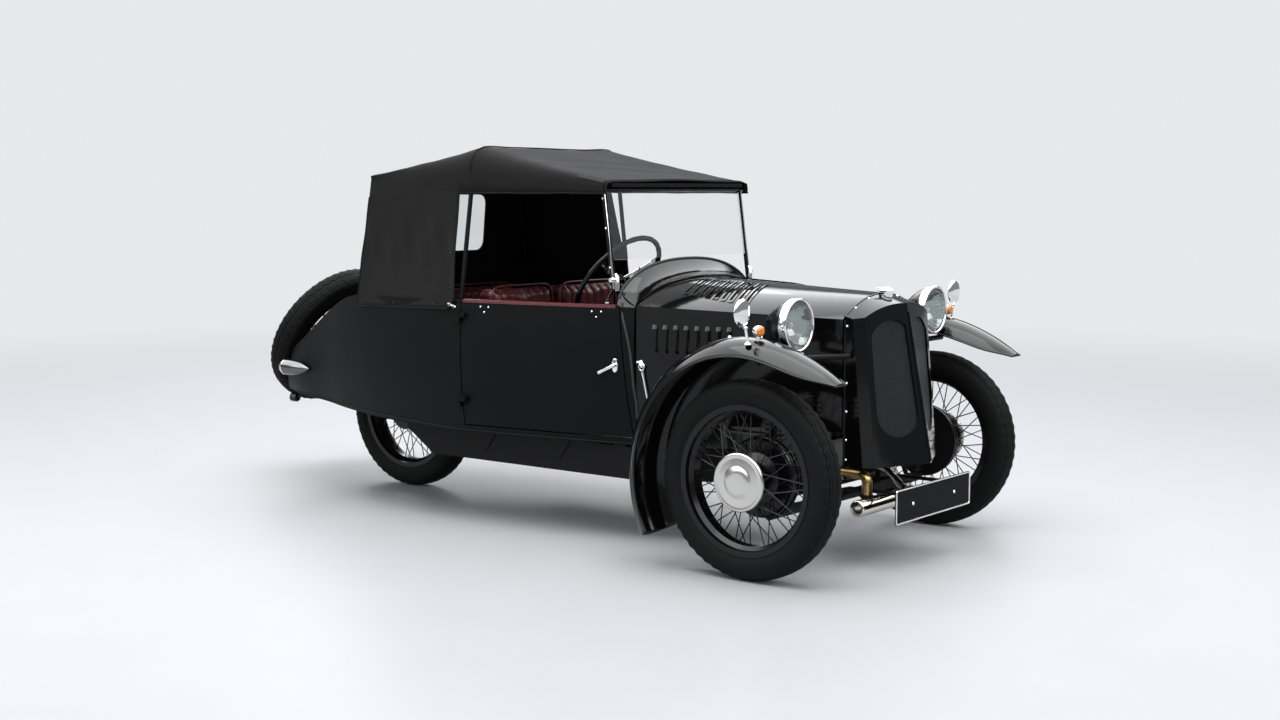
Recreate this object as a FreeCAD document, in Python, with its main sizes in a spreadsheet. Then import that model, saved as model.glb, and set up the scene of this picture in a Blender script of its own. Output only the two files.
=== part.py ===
import FreeCAD, Part
import math
import os
from types import SimpleNamespace

import Sketcher

# Three wheeled touring car: two wheels in front, one behind, folding hood, two doors.
# The front faces -Y, the driver sits at -X and +Z is up. Lengths are in millimetres.
# Every shape is drawn from the front axle's line on the ground, and one placement moves it along Y.

doc = FreeCAD.newDocument("three_wheeled_car")
sheet = doc.addObject("Spreadsheet::Sheet", "Size")

SIZES = {
    # stance
    "front_axle_y": -1305,
    "wheelbase": 2261,
    "track": 1270,
    # tyres and wheels
    "tyre_radius": 343,
    "tyre_width": 110,
    "tread_width": 76,
    "tread_drop": 9,
    "tyre_wall": 12,
    "rim_flange_radius": 259.5,
    "rim_flange_height": 17,
    "rim_width": 94,
    "rim_wall": 4,
    "rim_well_depth": 14,
    "rim_well_width": 34,
    "hub_barrel_radius": 60,
    "hub_flange_radius": 88,
    "hub_flange_thickness": 6,
    "hub_inner_reach": 42,
    "hub_outer_reach": 60,
    "hub_cap_radius": 101,
    "hub_cap_reach": 83,
    "hub_cap_rim": 14,
    "spoke_width": 4.5,
    "spoke_pairs": 12,
    "spoke_lead": 24,
    "stub_radius": 16,
    "running_gap": 0.05,
    "moving_gap": 5,
    "seat_gap": 0.3,
    # front suspension
    "kingpin_offset": 135,
    "kingpin_radius": 14,
    "kingpin_bottom": 195,
    "kingpin_top": 590,
    "sleeve_radius": 23,
    "sleeve_length": 150,
    "spring_radius": 31,
    "spring_wire": 7,
    "cross_tube_radius": 19,
    "lower_tube_z": 205,
    "upper_tube_z": 570,
    "drum_radius": 138,
    "drum_depth": 34,
    "backplate_thickness": 5,
    "steering_arm_length": 130,
    "steering_arm_z": 236,
    "track_rod_z": 212,
    "track_rod_radius": 8,
    # chassis
    "rail_half_width": 410,
    "rail_front_half_width": 215,
    "rail_bottom_z": 240,
    "rail_height": 122,
    "rail_thickness": 5,
    "rail_flange": 32,
    "rail_front_y": 40,
    "rail_bend_front_y": 330,
    "rail_bend_rear_y": 690,
    "rail_rear_y": 1880,
    "rail_rear_cut": 150,
    "cross_member_radius": 16,
    "body_pad_length": 60,
    "gusset_front_y": 1045,
    "gusset_rear_y": 1430,
    "gusset_width": 110,
    "gusset_height": 80,
    # driveline
    "engine_front_y": 20,
    "engine_length": 470,
    "engine_width": 230,
    "engine_height": 420,
    "engine_bottom_z": 300,
    "driveline_z": 315,
    "torque_tube_radius": 32,
    "bell_radius": 100,
    "gearbox_front_y": 1560,
    "gearbox_length": 260,
    "gearbox_width": 220,
    "gearbox_height": 160,
    "gearbox_top_z": 361,
    "fork_arm_x": 98,
    "fork_arm_radius": 17,
    "leaf_count": 4,
    "leaf_x": 117,
    "leaf_width": 26,
    "leaf_thickness": 7,
    "leaf_low_z": 361,
    "leaf_step": 95,
    # body
    "body_front_y": 655,
    "body_bottom_z": 372,
    "body_top_z": 886,
    "body_front_half_width": 440,
    "body_door_half_width": 548,
    "tuck_under": 22,
    "wall": 20,
    "bulkhead": 8,
    "floor_z": 392,
    "floor_least": 6,
    "door_front_top_y": 722,
    "door_front_bottom_y": 672,
    "door_rear_y": 1430,
    "door_bottom_z": 402,
    "cabin_rear_y": 2058,
    "tail_end_y": 2840,
    "hinge_reach": 14,
    "hinge_radius": 6,
    "hinge_pin_radius": 3,
    "hinge_length": 22,
    "hinge_low_z": 470,
    "hinge_high_z": 800,
    "wheel_well_gap": 32,
    "wheel_well_half_width": 135,
    "arch_wall": 12,
    "recess_gap": 22,
    # bonnet, scuttle and nose
    "bonnet_front_y": -118,
    "bonnet_rear_y": 648,
    "bonnet_front_half_width": 246,
    "bonnet_rear_half_width": 436,
    "bonnet_front_shoulder_z": 868,
    "bonnet_rear_shoulder_z": 893,
    "bonnet_front_centre_z": 949,
    "bonnet_rear_centre_z": 984,
    "bonnet_skin": 4,
    "bonnet_side_bottom_z": 470,
    "hinge_rod_radius": 2.7,
    "tube_notch_gap": 6,
    "louvre_width": 21,
    "louvre_reach": 9,
    "louvre_wall": 1.6,
    "louvre_end": 15,
    "side_louvre_count": 8,
    "side_louvre_length": 108,
    "side_louvre_pitch": 40.5,
    "side_louvre_front_y": 300,
    "side_louvre_z": 772,
    "top_louvre_count": 9,
    "top_louvre_pitch": 33.5,
    "top_louvre_rear_y": 600,
    "top_louvre_inner_x": 75,
    "top_louvre_outer_x": 300,
    "top_louvre_sweep": 62,
    "scuttle_rear_y": 742,
    "dash_y": 706,
    "dash_thickness": 12,
    "dash_half_width": 404,
    "dash_bottom_z": 792,
    "scuttle_centre_z": 1056,
    "scuttle_side_z": 940,
    "scuttle_side_half_width": 414,
    "nose_corner_half_width": 221,
    "nose_corner_top_y": -186,
    "nose_corner_bottom_y": -238,
    "nose_ridge_top_y": -226,
    "nose_ridge_bottom_y": -338,
    "nose_bottom_z": 352,
    "nose_top_z": 945,
    "nose_corner_run": 34,
    "nose_fall": 68,
    "nose_skin": 5,
    "mesh_thickness": 3,
    "window_inner_x": 22,
    "window_outer_x": 196,
    "window_bottom_z": 452,
    "window_top_z": 862,
    "radiator_half_width": 205,
    "radiator_forward": 42,
    "radiator_depth": 60,
    "radiator_bottom_z": 392,
    "radiator_top_z": 862,
    "radiator_cap_y": -150,
    # lamps and trim
    "headlamp_x": 477,
    "headlamp_y": -91,
    "headlamp_z": 860,
    "headlamp_radius": 93,
    "headlamp_depth": 135,
    "lens_radius": 84,
    "indicator_x": 658,
    "indicator_y": -62,
    "indicator_z": 850,
    "indicator_radius": 19,
    "mirror_x": 733,
    "mirror_y": -40,
    "mirror_z": 914,
    "mirror_radius": 47,
    "plate_width": 540,
    "plate_height": 122,
    "plate_thickness": 6,
    "plate_y": -352,
    "plate_bottom_z": 170,
    "plate_arm_x": 172,
    "plate_arm_z": 262,
    # wings
    "wing_inner_x": 535,
    "wing_outer_x": 735,
    "wing_lip_radius": 425,
    "wing_crest_radius": 487,
    "wing_thickness": 3,
    "wing_rear_angle": -29,
    "wing_front_angle": 112,
    "wing_tip_y": -352,
    "wing_tip_z": 690,
    # windscreen
    "screen_half_width": 437,
    "screen_bottom_y": 752,
    "screen_bottom_z": 949,
    "screen_top_y": 802,
    "screen_top_z": 1318,
    "screen_post": 13,
    "glass_thickness": 5,
    # hood
    "hood_thickness": 6,
    "hood_front_y": 772,
    "hood_front_z": 1352,
    "hood_bow_y": 1452,
    "hood_bow_z": 1486,
    "hood_rear_top_y": 2030,
    "hood_rear_top_z": 1384,
    "hood_rear_bottom_y": 2078,
    "hood_bottom_z": 836,
    "hood_side_rear_y": 1440,
    "hood_corner_y": 1515,
    "hood_corner_z": 902,
    "hood_opening_top_z": 1304,
    # seats
    "seat_width": 400,
    "seat_depth": 440,
    "seat_height": 150,
    "seat_x": 208,
    "seat_front_y": 960,
    "backrest_height": 555,
    "backrest_thickness": 110,
    "rear_seat_y": 1600,
    "rear_seat_depth": 270,
    "rear_seat_width": 800,
    "rear_back_width": 780,
    "rear_back_thickness": 80,
    "rear_back_low_z": 677,
    "rear_back_height": 240,
    # steering
    "steering_x": -208,
    "steering_y": 918,
    "steering_z": 966,
    "steering_radius": 205,
    "steering_rim_radius": 11,
    "steering_tilt": 35.3,
    "column_radius": 16,
    "column_length": 560,
    "column_shaft_radius": 9,
    "lamp_bar_z": 742,
    "lamp_bar_radius": 10,
    "headlamp_stem_back": 62,
    "wing_stay_y": 640,
    # exhaust
    "exhaust_radius": 20,
    "exhaust_x": 205,
    "exhaust_port_z": 470,
    "exhaust_run_z": 321,
    "exhaust_forward": 200,
    "silencer_radius": 30,
    "silencer_z": 212,
    "tail_pipe_x": 150,
    "tail_pipe_z": 299,
    "tail_pipe_radius": 14,
    # spare wheel
    "spare_y": 2760,
    "spare_z": 648,
    "spare_lean": 31,
    "tail_lamp_x": 386,
    "tail_lamp_y": 2545,
    "tail_lamp_z": 535,
    "tail_lamp_length": 180,
    "tail_lamp_radius": 35,
}

for row, (alias, number) in enumerate(SIZES.items(), start=1):
    sheet.set(f"A{row}", alias)
    sheet.set(f"B{row}", str(number))
    sheet.setAlias(f"B{row}", alias)
doc.recompute()
dim = SimpleNamespace(**{alias: float(sheet.get(alias)) for alias in SIZES})
kept = []


# Small drawing tools

def vec(x, y, z):
    return FreeCAD.Vector(x, y, z)


def mirrored(shape):
    return shape.mirror(vec(0, 0, 0), vec(1, 0, 0))


def curve(points):
    """One edge through the points: a line, an arc or a smooth spline."""
    points = [vec(*p) for p in points]
    if len(points) == 2:
        return Part.makeLine(points[0], points[1])
    if len(points) == 3:
        return Part.Arc(*points).toShape()
    spline = Part.BSplineCurve()
    spline.interpolate(points)
    return spline.toShape()


def ring(*edges):
    """A closed wire of edges given as point lists, each starting where the last ended."""
    return Part.Wire([curve(points) for points in edges])


def band(outer, inner):
    """A closed wire between two curves that run the same way."""
    return ring(outer, [outer[-1], inner[-1]], inner[::-1], [inner[0], outer[0]])


def loft(wires, ruled=False):
    return Part.makeLoft(wires, True, ruled)


def block(low, high):
    size = vec(*high) - vec(*low)
    return Part.makeBox(size.x, size.y, size.z, vec(*low))


def sided_block(side, low, high):
    """A block given on the +X side, on either side of the car."""
    solid = block(low, high)
    return mirrored(solid) if side < 0 else solid


def rod(start, end, radius):
    start = vec(*start)
    line = vec(*end) - start
    return Part.makeCylinder(radius, line.Length, start, line)


def prism(points, depth):
    """The polygon through the points, pushed along the depth vector."""
    corners = [vec(*p) for p in points]
    face = Part.Face(Part.makePolygon(corners + corners[:1]))
    return face.extrude(vec(*depth))


def fused(shapes):
    first, *rest = shapes
    return first.fuse(rest).removeSplitter() if rest else first


def ramp(low, high, share):
    return low + (high - low) * share


def place(thing, y="Size.front_axle_y", x="0", z="0"):
    thing.setExpression("Placement.Base.x", x)
    thing.setExpression("Placement.Base.y", y)
    thing.setExpression("Placement.Base.z", z)


def keep(thing, label):
    thing.Label = label
    kept.append(thing)
    return thing


def feature(label, shape, **where):
    """A free form whose shape is worked out from the sheet, placed at the front axle's line."""
    thing = doc.addObject("Part::Feature", label)
    thing.Shape = shape
    place(thing, **where)
    return keep(thing, label)


# Sketches whose corners are bound to the sheet

def value(expression):
    return float(sheet.evalExpression(expression))


def body(label, turn=None, **where):
    thing = doc.addObject("PartDesign::Body", label)
    if turn is not None:
        thing.Placement = FreeCAD.Placement(vec(0, 0, 0), turn)
    place(thing, **where)
    return keep(thing, label)


def sketch_on(owner, role, corners, name, lift="0"):
    """A closed polygon on one of the body's planes, with each corner given as two expressions."""
    sketch = owner.newObject("Sketcher::SketchObject", name)
    plane = next(item for item in owner.Origin.OriginFeatures if item.Role == role)
    sketch.AttachmentSupport = [(plane, "")]
    sketch.MapMode = "FlatFace"
    sketch.setExpression("AttachmentOffset.Base.z", lift)
    spots = [vec(value(x), value(y), 0) for x, y in corners]
    count = len(spots)
    for index in range(count):
        sketch.addGeometry(Part.LineSegment(spots[index], spots[(index + 1) % count]), False)
    for index in range(count):
        sketch.addConstraint(Sketcher.Constraint("Coincident", index, 2, (index + 1) % count, 1))
    for index, (x, y) in enumerate(corners):
        for kind, expression, number in (("DistanceX", x, spots[index].x), ("DistanceY", y, spots[index].y)):
            bound = sketch.addConstraint(Sketcher.Constraint(kind, -1, 1, index, 1, number))
            sketch.renameConstraint(bound, f"{kind}_{index}")
            sketch.setExpression(f"Constraints.{kind}_{index}", expression)
    return sketch


def padded(owner, sketch, length, midplane=False, name="Pad"):
    pad = owner.newObject("PartDesign::Pad", f"{owner.Name}_{name}")
    pad.Profile = sketch
    pad.setExpression("Length", length)
    pad.Midplane = midplane
    return pad


def revolved(owner, sketch, axis="H_Axis"):
    turned = owner.newObject("PartDesign::Revolution", f"{owner.Name}_Revolution")
    turned.Profile = sketch
    turned.ReferenceAxis = (sketch, [axis])
    turned.Angle = 360
    return turned


def rectangle(x_low, x_high, y_low, y_high):
    return [(x_low, y_low), (x_high, y_low), (x_high, y_high), (x_low, y_high)]


WHEELS = {
    "front_right": (-1, "-Size.track / 2", "Size.front_axle_y"),
    "front_left": (1, "Size.track / 2", "Size.front_axle_y"),
    "rear": (-1, "0", "Size.front_axle_y + Size.wheelbase"),
}
SPARE = ("0", "Size.front_axle_y + Size.spare_y", "Size.spare_z")


# Tyres: a tall narrow section with a square shouldered tread, open at the beads

TYRE_PROFILE = [
    ("-Size.rim_width / 2 + Size.rim_wall", "Size.rim_flange_radius - Size.rim_flange_height"),
    ("-Size.rim_width / 2 + Size.rim_wall", "Size.rim_flange_radius"),
    ("-Size.tyre_width / 2", "Size.tyre_radius * 0.5 + Size.rim_flange_radius * 0.5"),
    ("-Size.tread_width / 2", "Size.tyre_radius - Size.tread_drop"),
    ("-Size.tread_width / 4", "Size.tyre_radius"),
    ("Size.tread_width / 4", "Size.tyre_radius"),
    ("Size.tread_width / 2", "Size.tyre_radius - Size.tread_drop"),
    ("Size.tyre_width / 2", "Size.tyre_radius * 0.5 + Size.rim_flange_radius * 0.5"),
    ("Size.rim_width / 2 - Size.rim_wall", "Size.rim_flange_radius"),
    ("Size.rim_width / 2 - Size.rim_wall", "Size.rim_flange_radius - Size.rim_flange_height"),
    ("Size.rim_width / 2 - Size.rim_wall - Size.tyre_wall", "Size.rim_flange_radius - Size.rim_flange_height"),
    ("Size.tyre_width / 2 - Size.tyre_wall", "Size.tyre_radius * 0.5 + Size.rim_flange_radius * 0.5"),
    ("0", "Size.tyre_radius - Size.tyre_wall"),
    ("-Size.tyre_width / 2 + Size.tyre_wall", "Size.tyre_radius * 0.5 + Size.rim_flange_radius * 0.5"),
    ("-Size.rim_width / 2 + Size.rim_wall + Size.tyre_wall", "Size.rim_flange_radius - Size.rim_flange_height"),
]


def tyre(label, x, y, z, turn=None):
    owner = body(label, turn=turn, x=x, y=y, z=z)
    sketch = sketch_on(owner, "XY_Plane", TYRE_PROFILE, f"{label}_section")
    revolved(owner, sketch)


spare_normal = vec(0, math.cos(math.radians(dim.spare_lean)), math.sin(math.radians(dim.spare_lean)))
spare_turn = FreeCAD.Rotation(vec(1, 0, 0), spare_normal)
for corner, (side, x, y) in WHEELS.items():
    tyre(f"tyre_{corner}", x, y, "Size.tyre_radius")
tyre("tyre_spare", *SPARE, turn=spare_turn)


# Wire wheels: a well based rim, a hub shell with two flanges, and crossed spokes between them

def turned_shape(profile):
    """A solid of revolution about the X axis from (along, radius) pairs."""
    points = [vec(a, r, 0) for a, r in profile]
    face = Part.Face(Part.makePolygon(points + points[:1]))
    return face.revolve(vec(0, 0, 0), vec(1, 0, 0), 360)


def turned_to(shape, axis, at):
    """The shape with its X axis turned to another direction and its origin moved."""
    move = FreeCAD.Placement(vec(*at), FreeCAD.Rotation(vec(1, 0, 0), vec(*axis)))
    return shape.transformed(move.toMatrix(), copy=True)


def wire_wheel(with_cap=True):
    """The wheel about its own centre, with its outer face towards -X."""
    half = dim.rim_width / 2
    flange = dim.rim_flange_radius
    seat = flange - dim.rim_flange_height
    well = seat - dim.rim_well_depth
    wall = dim.rim_wall
    well_half = dim.rim_well_width / 2
    slope = dim.rim_well_depth
    rim = turned_shape([
        (-half, flange), (-half + wall, flange), (-half + wall, seat), (-well_half - slope, seat),
        (-well_half, well), (well_half, well), (well_half + slope, seat), (half - wall, seat),
        (half - wall, flange), (half, flange), (half, seat - wall), (well_half + slope, seat - wall),
        (well_half, well - wall), (-well_half, well - wall), (-well_half - slope, seat - wall),
        (-half, seat - wall),
    ])
    bore = dim.stub_radius + dim.running_gap
    barrel = dim.hub_barrel_radius
    edge = dim.hub_flange_radius
    thick = dim.hub_flange_thickness
    inner = dim.hub_inner_reach
    outer = -dim.hub_outer_reach
    hub = [(inner, bore), (inner, edge), (inner - thick, edge), (inner - 3 * thick, barrel),
           (outer + 3 * thick, barrel), (outer + thick, edge), (outer, edge), (outer, bore)]
    hub_shape = turned_shape(hub)
    spokes = []
    count = int(dim.spoke_pairs)
    for index in range(count * 2):
        for at_hub, at_rim in ((outer + thick / 2, -well_half / 2), (inner - thick / 2, well_half / 2)):
            lean = dim.spoke_lead if index % 2 else -dim.spoke_lead
            offset = 0 if at_hub < 0 else 0.5
            start_angle = math.radians(360 * (index // 2 + offset) / count + (4 if index % 2 else -4))
            end_angle = start_angle + math.radians(lean)
            start = vec(at_hub, (edge - thick) * math.cos(start_angle), (edge - thick) * math.sin(start_angle))
            end = vec(at_rim, (well - wall / 2) * math.cos(end_angle), (well - wall / 2) * math.sin(end_angle))
            spokes.append(square_bar(start, end, dim.spoke_width))
    return rim.fuse([hub_shape] + spokes)


def square_bar(start, end, width):
    line = end - start
    bar = Part.makeBox(width, width, line.Length, vec(-width / 2, -width / 2, 0))
    bar.Placement = FreeCAD.Placement(start, FreeCAD.Rotation(vec(0, 0, 1), line))
    return bar


def hub_cap_shape():
    """The polished disc that covers the hub's outer end, domed with a rolled edge."""
    reach = -dim.hub_cap_reach
    outer = -dim.hub_outer_reach
    radius = dim.hub_cap_radius
    rim = dim.hub_cap_rim
    return turned_shape([
        (outer, 0), (outer, radius * 0.8), (outer - rim * 0.4, radius), (outer - rim, radius),
        (outer - rim - 3, radius * 0.93), (reach + 2, radius * 0.5), (reach, 0),
    ])


wheel_master = wire_wheel()
cap_master = hub_cap_shape()


def drum_shape():
    inner = dim.hub_inner_reach
    return turned_shape([
        (inner, dim.stub_radius + dim.running_gap), (inner, dim.hub_barrel_radius),
        (inner + 3, dim.drum_radius - 8), (inner + 10, dim.drum_radius), (inner + dim.drum_depth, dim.drum_radius),
        (inner + dim.drum_depth, dim.drum_radius - 8), (inner + 14, dim.drum_radius - 12),
        (inner + 9, dim.stub_radius + dim.running_gap),
    ])


def wheel_node(label, shape, x, y, z, turn=None):
    thing = doc.addObject("Part::Feature", label)
    thing.Shape = shape
    if turn is not None:
        thing.Placement = FreeCAD.Placement(vec(0, 0, 0), turn)
    place(thing, x=x, y=y, z=z)
    return keep(thing, label)


front_master = wheel_master.fuse(drum_shape())
for corner, (side, x, y) in WHEELS.items():
    if corner == "rear":
        wheel_node("wheel_rear", wheel_master, x, y, "Size.tyre_radius")
        continue
    shapes = (front_master, cap_master)
    if side > 0:
        shapes = tuple(mirrored(shape) for shape in shapes)
    wheel_node(f"wheel_{corner}", shapes[0], x, y, "Size.tyre_radius")
    wheel_node(f"hub_cap_{corner}", shapes[1], x, y, "Size.tyre_radius")
wheel_node("wheel_spare", wheel_master, *SPARE, turn=spare_turn)


# Front suspension: two cross tubes carry an upright pillar at each end, and the knuckle slides on it

kingpin_x = dim.track / 2 - dim.kingpin_offset


def cross_frame():
    half = kingpin_x + dim.sleeve_radius
    tubes = [rod((-half, 0, z), (half, 0, z), dim.cross_tube_radius) for z in (dim.lower_tube_z, dim.upper_tube_z)]
    for side in (-1, 1):
        x = side * kingpin_x
        tubes.append(rod((x, 0, dim.kingpin_bottom), (x, 0, dim.kingpin_top), dim.kingpin_radius))
        near = side * dim.rail_front_half_width
        tubes.append(rod((near, 0, dim.lower_tube_z), (near, 0, dim.upper_tube_z), dim.cross_tube_radius * 0.7))
        tubes.append(rod((near, 0, dim.upper_tube_z - 20), (side * (kingpin_x - 60), 0, dim.lower_tube_z), 9))
    return fused(tubes)


feature("front_cross_frame", cross_frame())

sleeve_low = dim.tyre_radius - dim.sleeve_length / 2
sleeve_high = dim.tyre_radius + dim.sleeve_length / 2


def springs():
    """A coil above each knuckle and a short one below, drawn as the tubes that they fill."""
    coils = []
    runs = ((sleeve_high + dim.seat_gap, dim.upper_tube_z - dim.cross_tube_radius - dim.seat_gap),
            (dim.lower_tube_z + dim.cross_tube_radius + dim.seat_gap, sleeve_low - dim.seat_gap))
    for side in (-1, 1):
        for low, high in runs:
            foot = vec(side * kingpin_x, 0, low)
            outer = Part.makeCylinder(dim.spring_radius, high - low, foot)
            coils.append(outer.cut(Part.makeCylinder(dim.spring_radius - dim.spring_wire, high - low, foot)))
    return Part.makeCompound(coils)


feature("front_springs", springs())


track_pin_radius = 6


def knuckle(side):
    x = side * kingpin_x
    wheel_x = side * dim.track / 2
    plate_x = wheel_x - side * (dim.hub_inner_reach + dim.drum_depth + dim.moving_gap)
    stub_end = wheel_x + side * (dim.hub_outer_reach - dim.seat_gap)
    height = dim.tyre_radius
    sleeve = Part.makeCylinder(dim.sleeve_radius, dim.sleeve_length, vec(x, 0, sleeve_low))
    stub = rod((x, 0, height), (stub_end, 0, height), dim.stub_radius)
    plate = rod((plate_x, 0, height), (plate_x - side * dim.backplate_thickness, 0, height), dim.drum_radius + 4)
    boss = rod((x, 0, height), (plate_x, 0, height), dim.stub_radius + 12)
    length = dim.steering_arm_length
    eye = dim.steering_arm_z
    arm = fused([rod((x, 12, sleeve_low + 21), (x, length, eye), 9), Part.makeCylinder(15, 18, vec(x, length, eye - 9))])
    solid = fused([sleeve, stub, plate, boss, arm])
    hole = Part.makeCylinder(dim.kingpin_radius + dim.running_gap, dim.sleeve_length + 2, vec(x, 0, sleeve_low - 1))
    pin_hole = Part.makeCylinder(track_pin_radius + dim.running_gap, 40, vec(x, length, eye - 20))
    return solid.cut(hole).cut(pin_hole)


feature("knuckle_right", knuckle(-1))
feature("knuckle_left", knuckle(1))


def track_rod():
    z = dim.track_rod_z
    y = dim.steering_arm_length
    bar = rod((-kingpin_x, y, z), (kingpin_x, y, z), dim.track_rod_radius)
    low = dim.steering_arm_z - 9 - dim.seat_gap
    ends = [Part.makeCylinder(13, low - z + 8, vec(side * kingpin_x, y, z - 8)) for side in (-1, 1)]
    pins = [Part.makeCylinder(track_pin_radius, low - z + 19, vec(side * kingpin_x, y, z)) for side in (-1, 1)]
    return fused([bar] + ends + pins)


feature("track_rod", track_rod())


# Body form: flat sides that spread to the doors and close into a tapered tail

def body_stations():
    """Along Y: half width, bottom height, top height and the crown of the deck."""
    bottom = dim.body_bottom_z
    top = dim.body_top_z
    wide = dim.body_door_half_width
    return [
        (dim.body_front_y, dim.body_front_half_width, bottom, top, 6),
        (850, ramp(dim.body_front_half_width, wide, 0.33), bottom, top, 6),
        (1050, ramp(dim.body_front_half_width, wide, 0.62), bottom, top, 6),
        (1240, ramp(dim.body_front_half_width, wide, 0.85), bottom, top, 6),
        (dim.door_rear_y, wide, bottom, top, 6),
        (1610, wide - 2, bottom + 1, top, 6),
        (1790, wide - 14, bottom + 3, top, 7),
        (1950, wide - 34, bottom + 7, top, 8),
        (2050, wide - 51, bottom + 11, top - 1, 10),
        (2150, wide - 73, bottom + 16, top - 12, 16),
        (2240, wide - 96, bottom + 21, top - 40, 25),
        (2330, wide - 123, bottom + 26, top - 80, 34),
        (2530, wide - 178, bottom + 35, top - 188, 40),
        (2680, wide - 223, bottom + 41, top - 263, 36),
        (dim.tail_end_y, wide - 290, bottom + 52, top - 312, 30),
    ]


def body_section(y, half, low, high, crown, inset=0.0, floor=None, lift=0.0):
    half = half - inset
    low = low + (inset if floor is None else floor)
    high = high + lift - min(inset, 0)
    tuck = half - dim.tuck_under
    middle = (low + high) / 2
    return ring([(-tuck, y, low), (tuck, y, low)],
                [(tuck, y, low), (half + 4, y, middle), (half - 3, y, high)],
                [(half - 3, y, high), (0, y, high + crown), (-half + 3, y, high)],
                [(-half + 3, y, high), (-half - 4, y, middle), (-tuck, y, low)])


def body_loft(**grow):
    return loft([body_section(*station, **grow) for station in body_stations()])


body_outer = body_loft()
body_near = body_loft(inset=-dim.seat_gap)


# Chassis: two deep side members, bent in towards the engine, with round cross members

def rail(side):
    thick = dim.rail_thickness
    path = [(dim.rail_front_half_width, dim.rail_front_y), (dim.rail_front_half_width, dim.rail_bend_front_y),
            (dim.rail_half_width, dim.rail_bend_rear_y), (dim.rail_half_width, dim.rail_rear_y)]
    low = dim.rail_bottom_z
    web = prism([(side * x, y, low) for x, y in path]
                + [(side * (x - thick), y, low) for x, y in path[::-1]], (0, 0, dim.rail_height))
    flanges = [prism([(side * x, y, z) for x, y in path]
                     + [(side * (x - dim.rail_flange), y, z) for x, y in path[::-1]], (0, 0, thick))
               for z in (low, low + dim.rail_height - thick)]
    solid = fused([web] + flanges)
    cut = prism([(side * (dim.rail_half_width + 20), dim.rail_rear_y + 1, low - 1),
                 (side * (dim.rail_half_width + 20), dim.rail_rear_y - dim.rail_rear_cut, low - 1),
                 (side * (dim.rail_half_width + 20), dim.rail_rear_y + 1, low + dim.rail_height * 0.8)],
                (-side * 120, 0, 0))
    return solid.cut(cut)


def chassis():
    pieces = [rail(-1), rail(1)]
    top = dim.rail_bottom_z + dim.rail_height
    rest = dim.driveline_z - dim.torque_tube_radius - dim.seat_gap
    middle = rest - dim.cross_member_radius
    for y, half in ((dim.rail_front_y + 60, dim.rail_front_half_width - 2),
                    (dim.rail_bend_rear_y + 60, dim.rail_half_width - 2),
                    (dim.gearbox_front_y - 40, dim.rail_half_width - 2)):
        pieces.append(rod((-half, y, middle), (half, y, middle), dim.cross_member_radius))
    for side in (-1, 1):
        near = dim.rail_front_half_width
        upright = dim.cross_tube_radius * 0.7 + dim.seat_gap
        lug_z = dim.rail_bottom_z + dim.rail_height / 2
        pieces.append(sided_block(side, (near - 20, upright, lug_z - 20), (near, dim.rail_front_y + 2, lug_z + 20)))
        pieces.append(sided_block(side, (60, dim.rail_front_y + 44, middle),
                                  (90, dim.rail_front_y + 76, dim.engine_bottom_z - dim.seat_gap)))
        face = dim.rail_half_width - 1
        half = dim.gusset_width / 2
        for y in (dim.gusset_front_y, dim.gusset_rear_y):
            pieces.append(prism([(side * face, y - half, top - 1), (side * face, y + half, top - 1),
                                 (side * face, y, top - dim.gusset_height)], (side * 5, 0, 0)))
        for y in (dim.rail_bend_rear_y + 60, dim.gusset_front_y, dim.gusset_rear_y, dim.rail_rear_y - 200):
            half = dim.body_pad_length / 2
            pad = sided_block(side, (dim.rail_half_width - dim.rail_flange, y - half, top - 1),
                              (dim.rail_half_width - 1, y + half, top + 40))
            pieces.append(pad.cut(body_near))
    return fused(pieces)


feature("chassis", chassis())


# Driveline: a plain engine block, the torque tube, and the gearbox in front of the rear wheel

def engine():
    half = dim.engine_width / 2
    low = dim.engine_bottom_z
    return block((-half, dim.engine_front_y, low), (half, dim.engine_front_y + dim.engine_length, low + dim.engine_height))


feature("engine", engine())


def transmission():
    """Bell housing, torque tube and gearbox, hung low enough to clear the floor."""
    centre = dim.driveline_z
    front = dim.engine_front_y + dim.engine_length
    rear = dim.gearbox_front_y
    half = dim.gearbox_width / 2
    top = dim.gearbox_top_z
    bell = Part.makeCone(dim.bell_radius, dim.torque_tube_radius, 140, vec(0, front + dim.seat_gap, centre), vec(0, 1, 0))
    tube = rod((0, front + 100, centre), (0, rear + 10, centre), dim.torque_tube_radius)
    box = block((-half, rear, top - dim.gearbox_height), (half, rear + dim.gearbox_length, top))
    return fused([bell, tube, box])


feature("transmission", transmission())


def rear_fork():
    height = dim.tyre_radius
    front = dim.gearbox_front_y + dim.gearbox_length
    arms = [rod((side * dim.fork_arm_x, front + dim.seat_gap, height), (side * dim.fork_arm_x, dim.wheelbase + 30, height), dim.fork_arm_radius)
            for side in (-1, 1)]
    axle = rod((-dim.fork_arm_x - 30, dim.wheelbase, height), (dim.fork_arm_x + 30, dim.wheelbase, height), dim.stub_radius)
    return fused(arms + [axle] + leaf_packs(front + dim.seat_gap))


def leaf_packs(front):
    """A quarter leaf spring over each fork arm, its leaves shorter from the bottom up, on a saddle at each end."""
    pieces = []
    half = dim.leaf_width / 2
    thick = dim.leaf_thickness
    rear = dim.wheelbase + 26
    low = dim.leaf_low_z
    for side in (-1, 1):
        x = side * dim.leaf_x
        for index in range(int(dim.leaf_count)):
            pieces.append(block((x - half, front, low + index * thick), (x + half, rear - index * dim.leaf_step, low + (index + 1) * thick)))
        inner = side * dim.fork_arm_x
        for near in (front, rear - 50):
            pieces.append(block((min(inner, x - half), near, dim.tyre_radius), (max(inner, x + half), near + 50, low + 1)))
    return pieces


feature("rear_fork", rear_fork())


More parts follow.
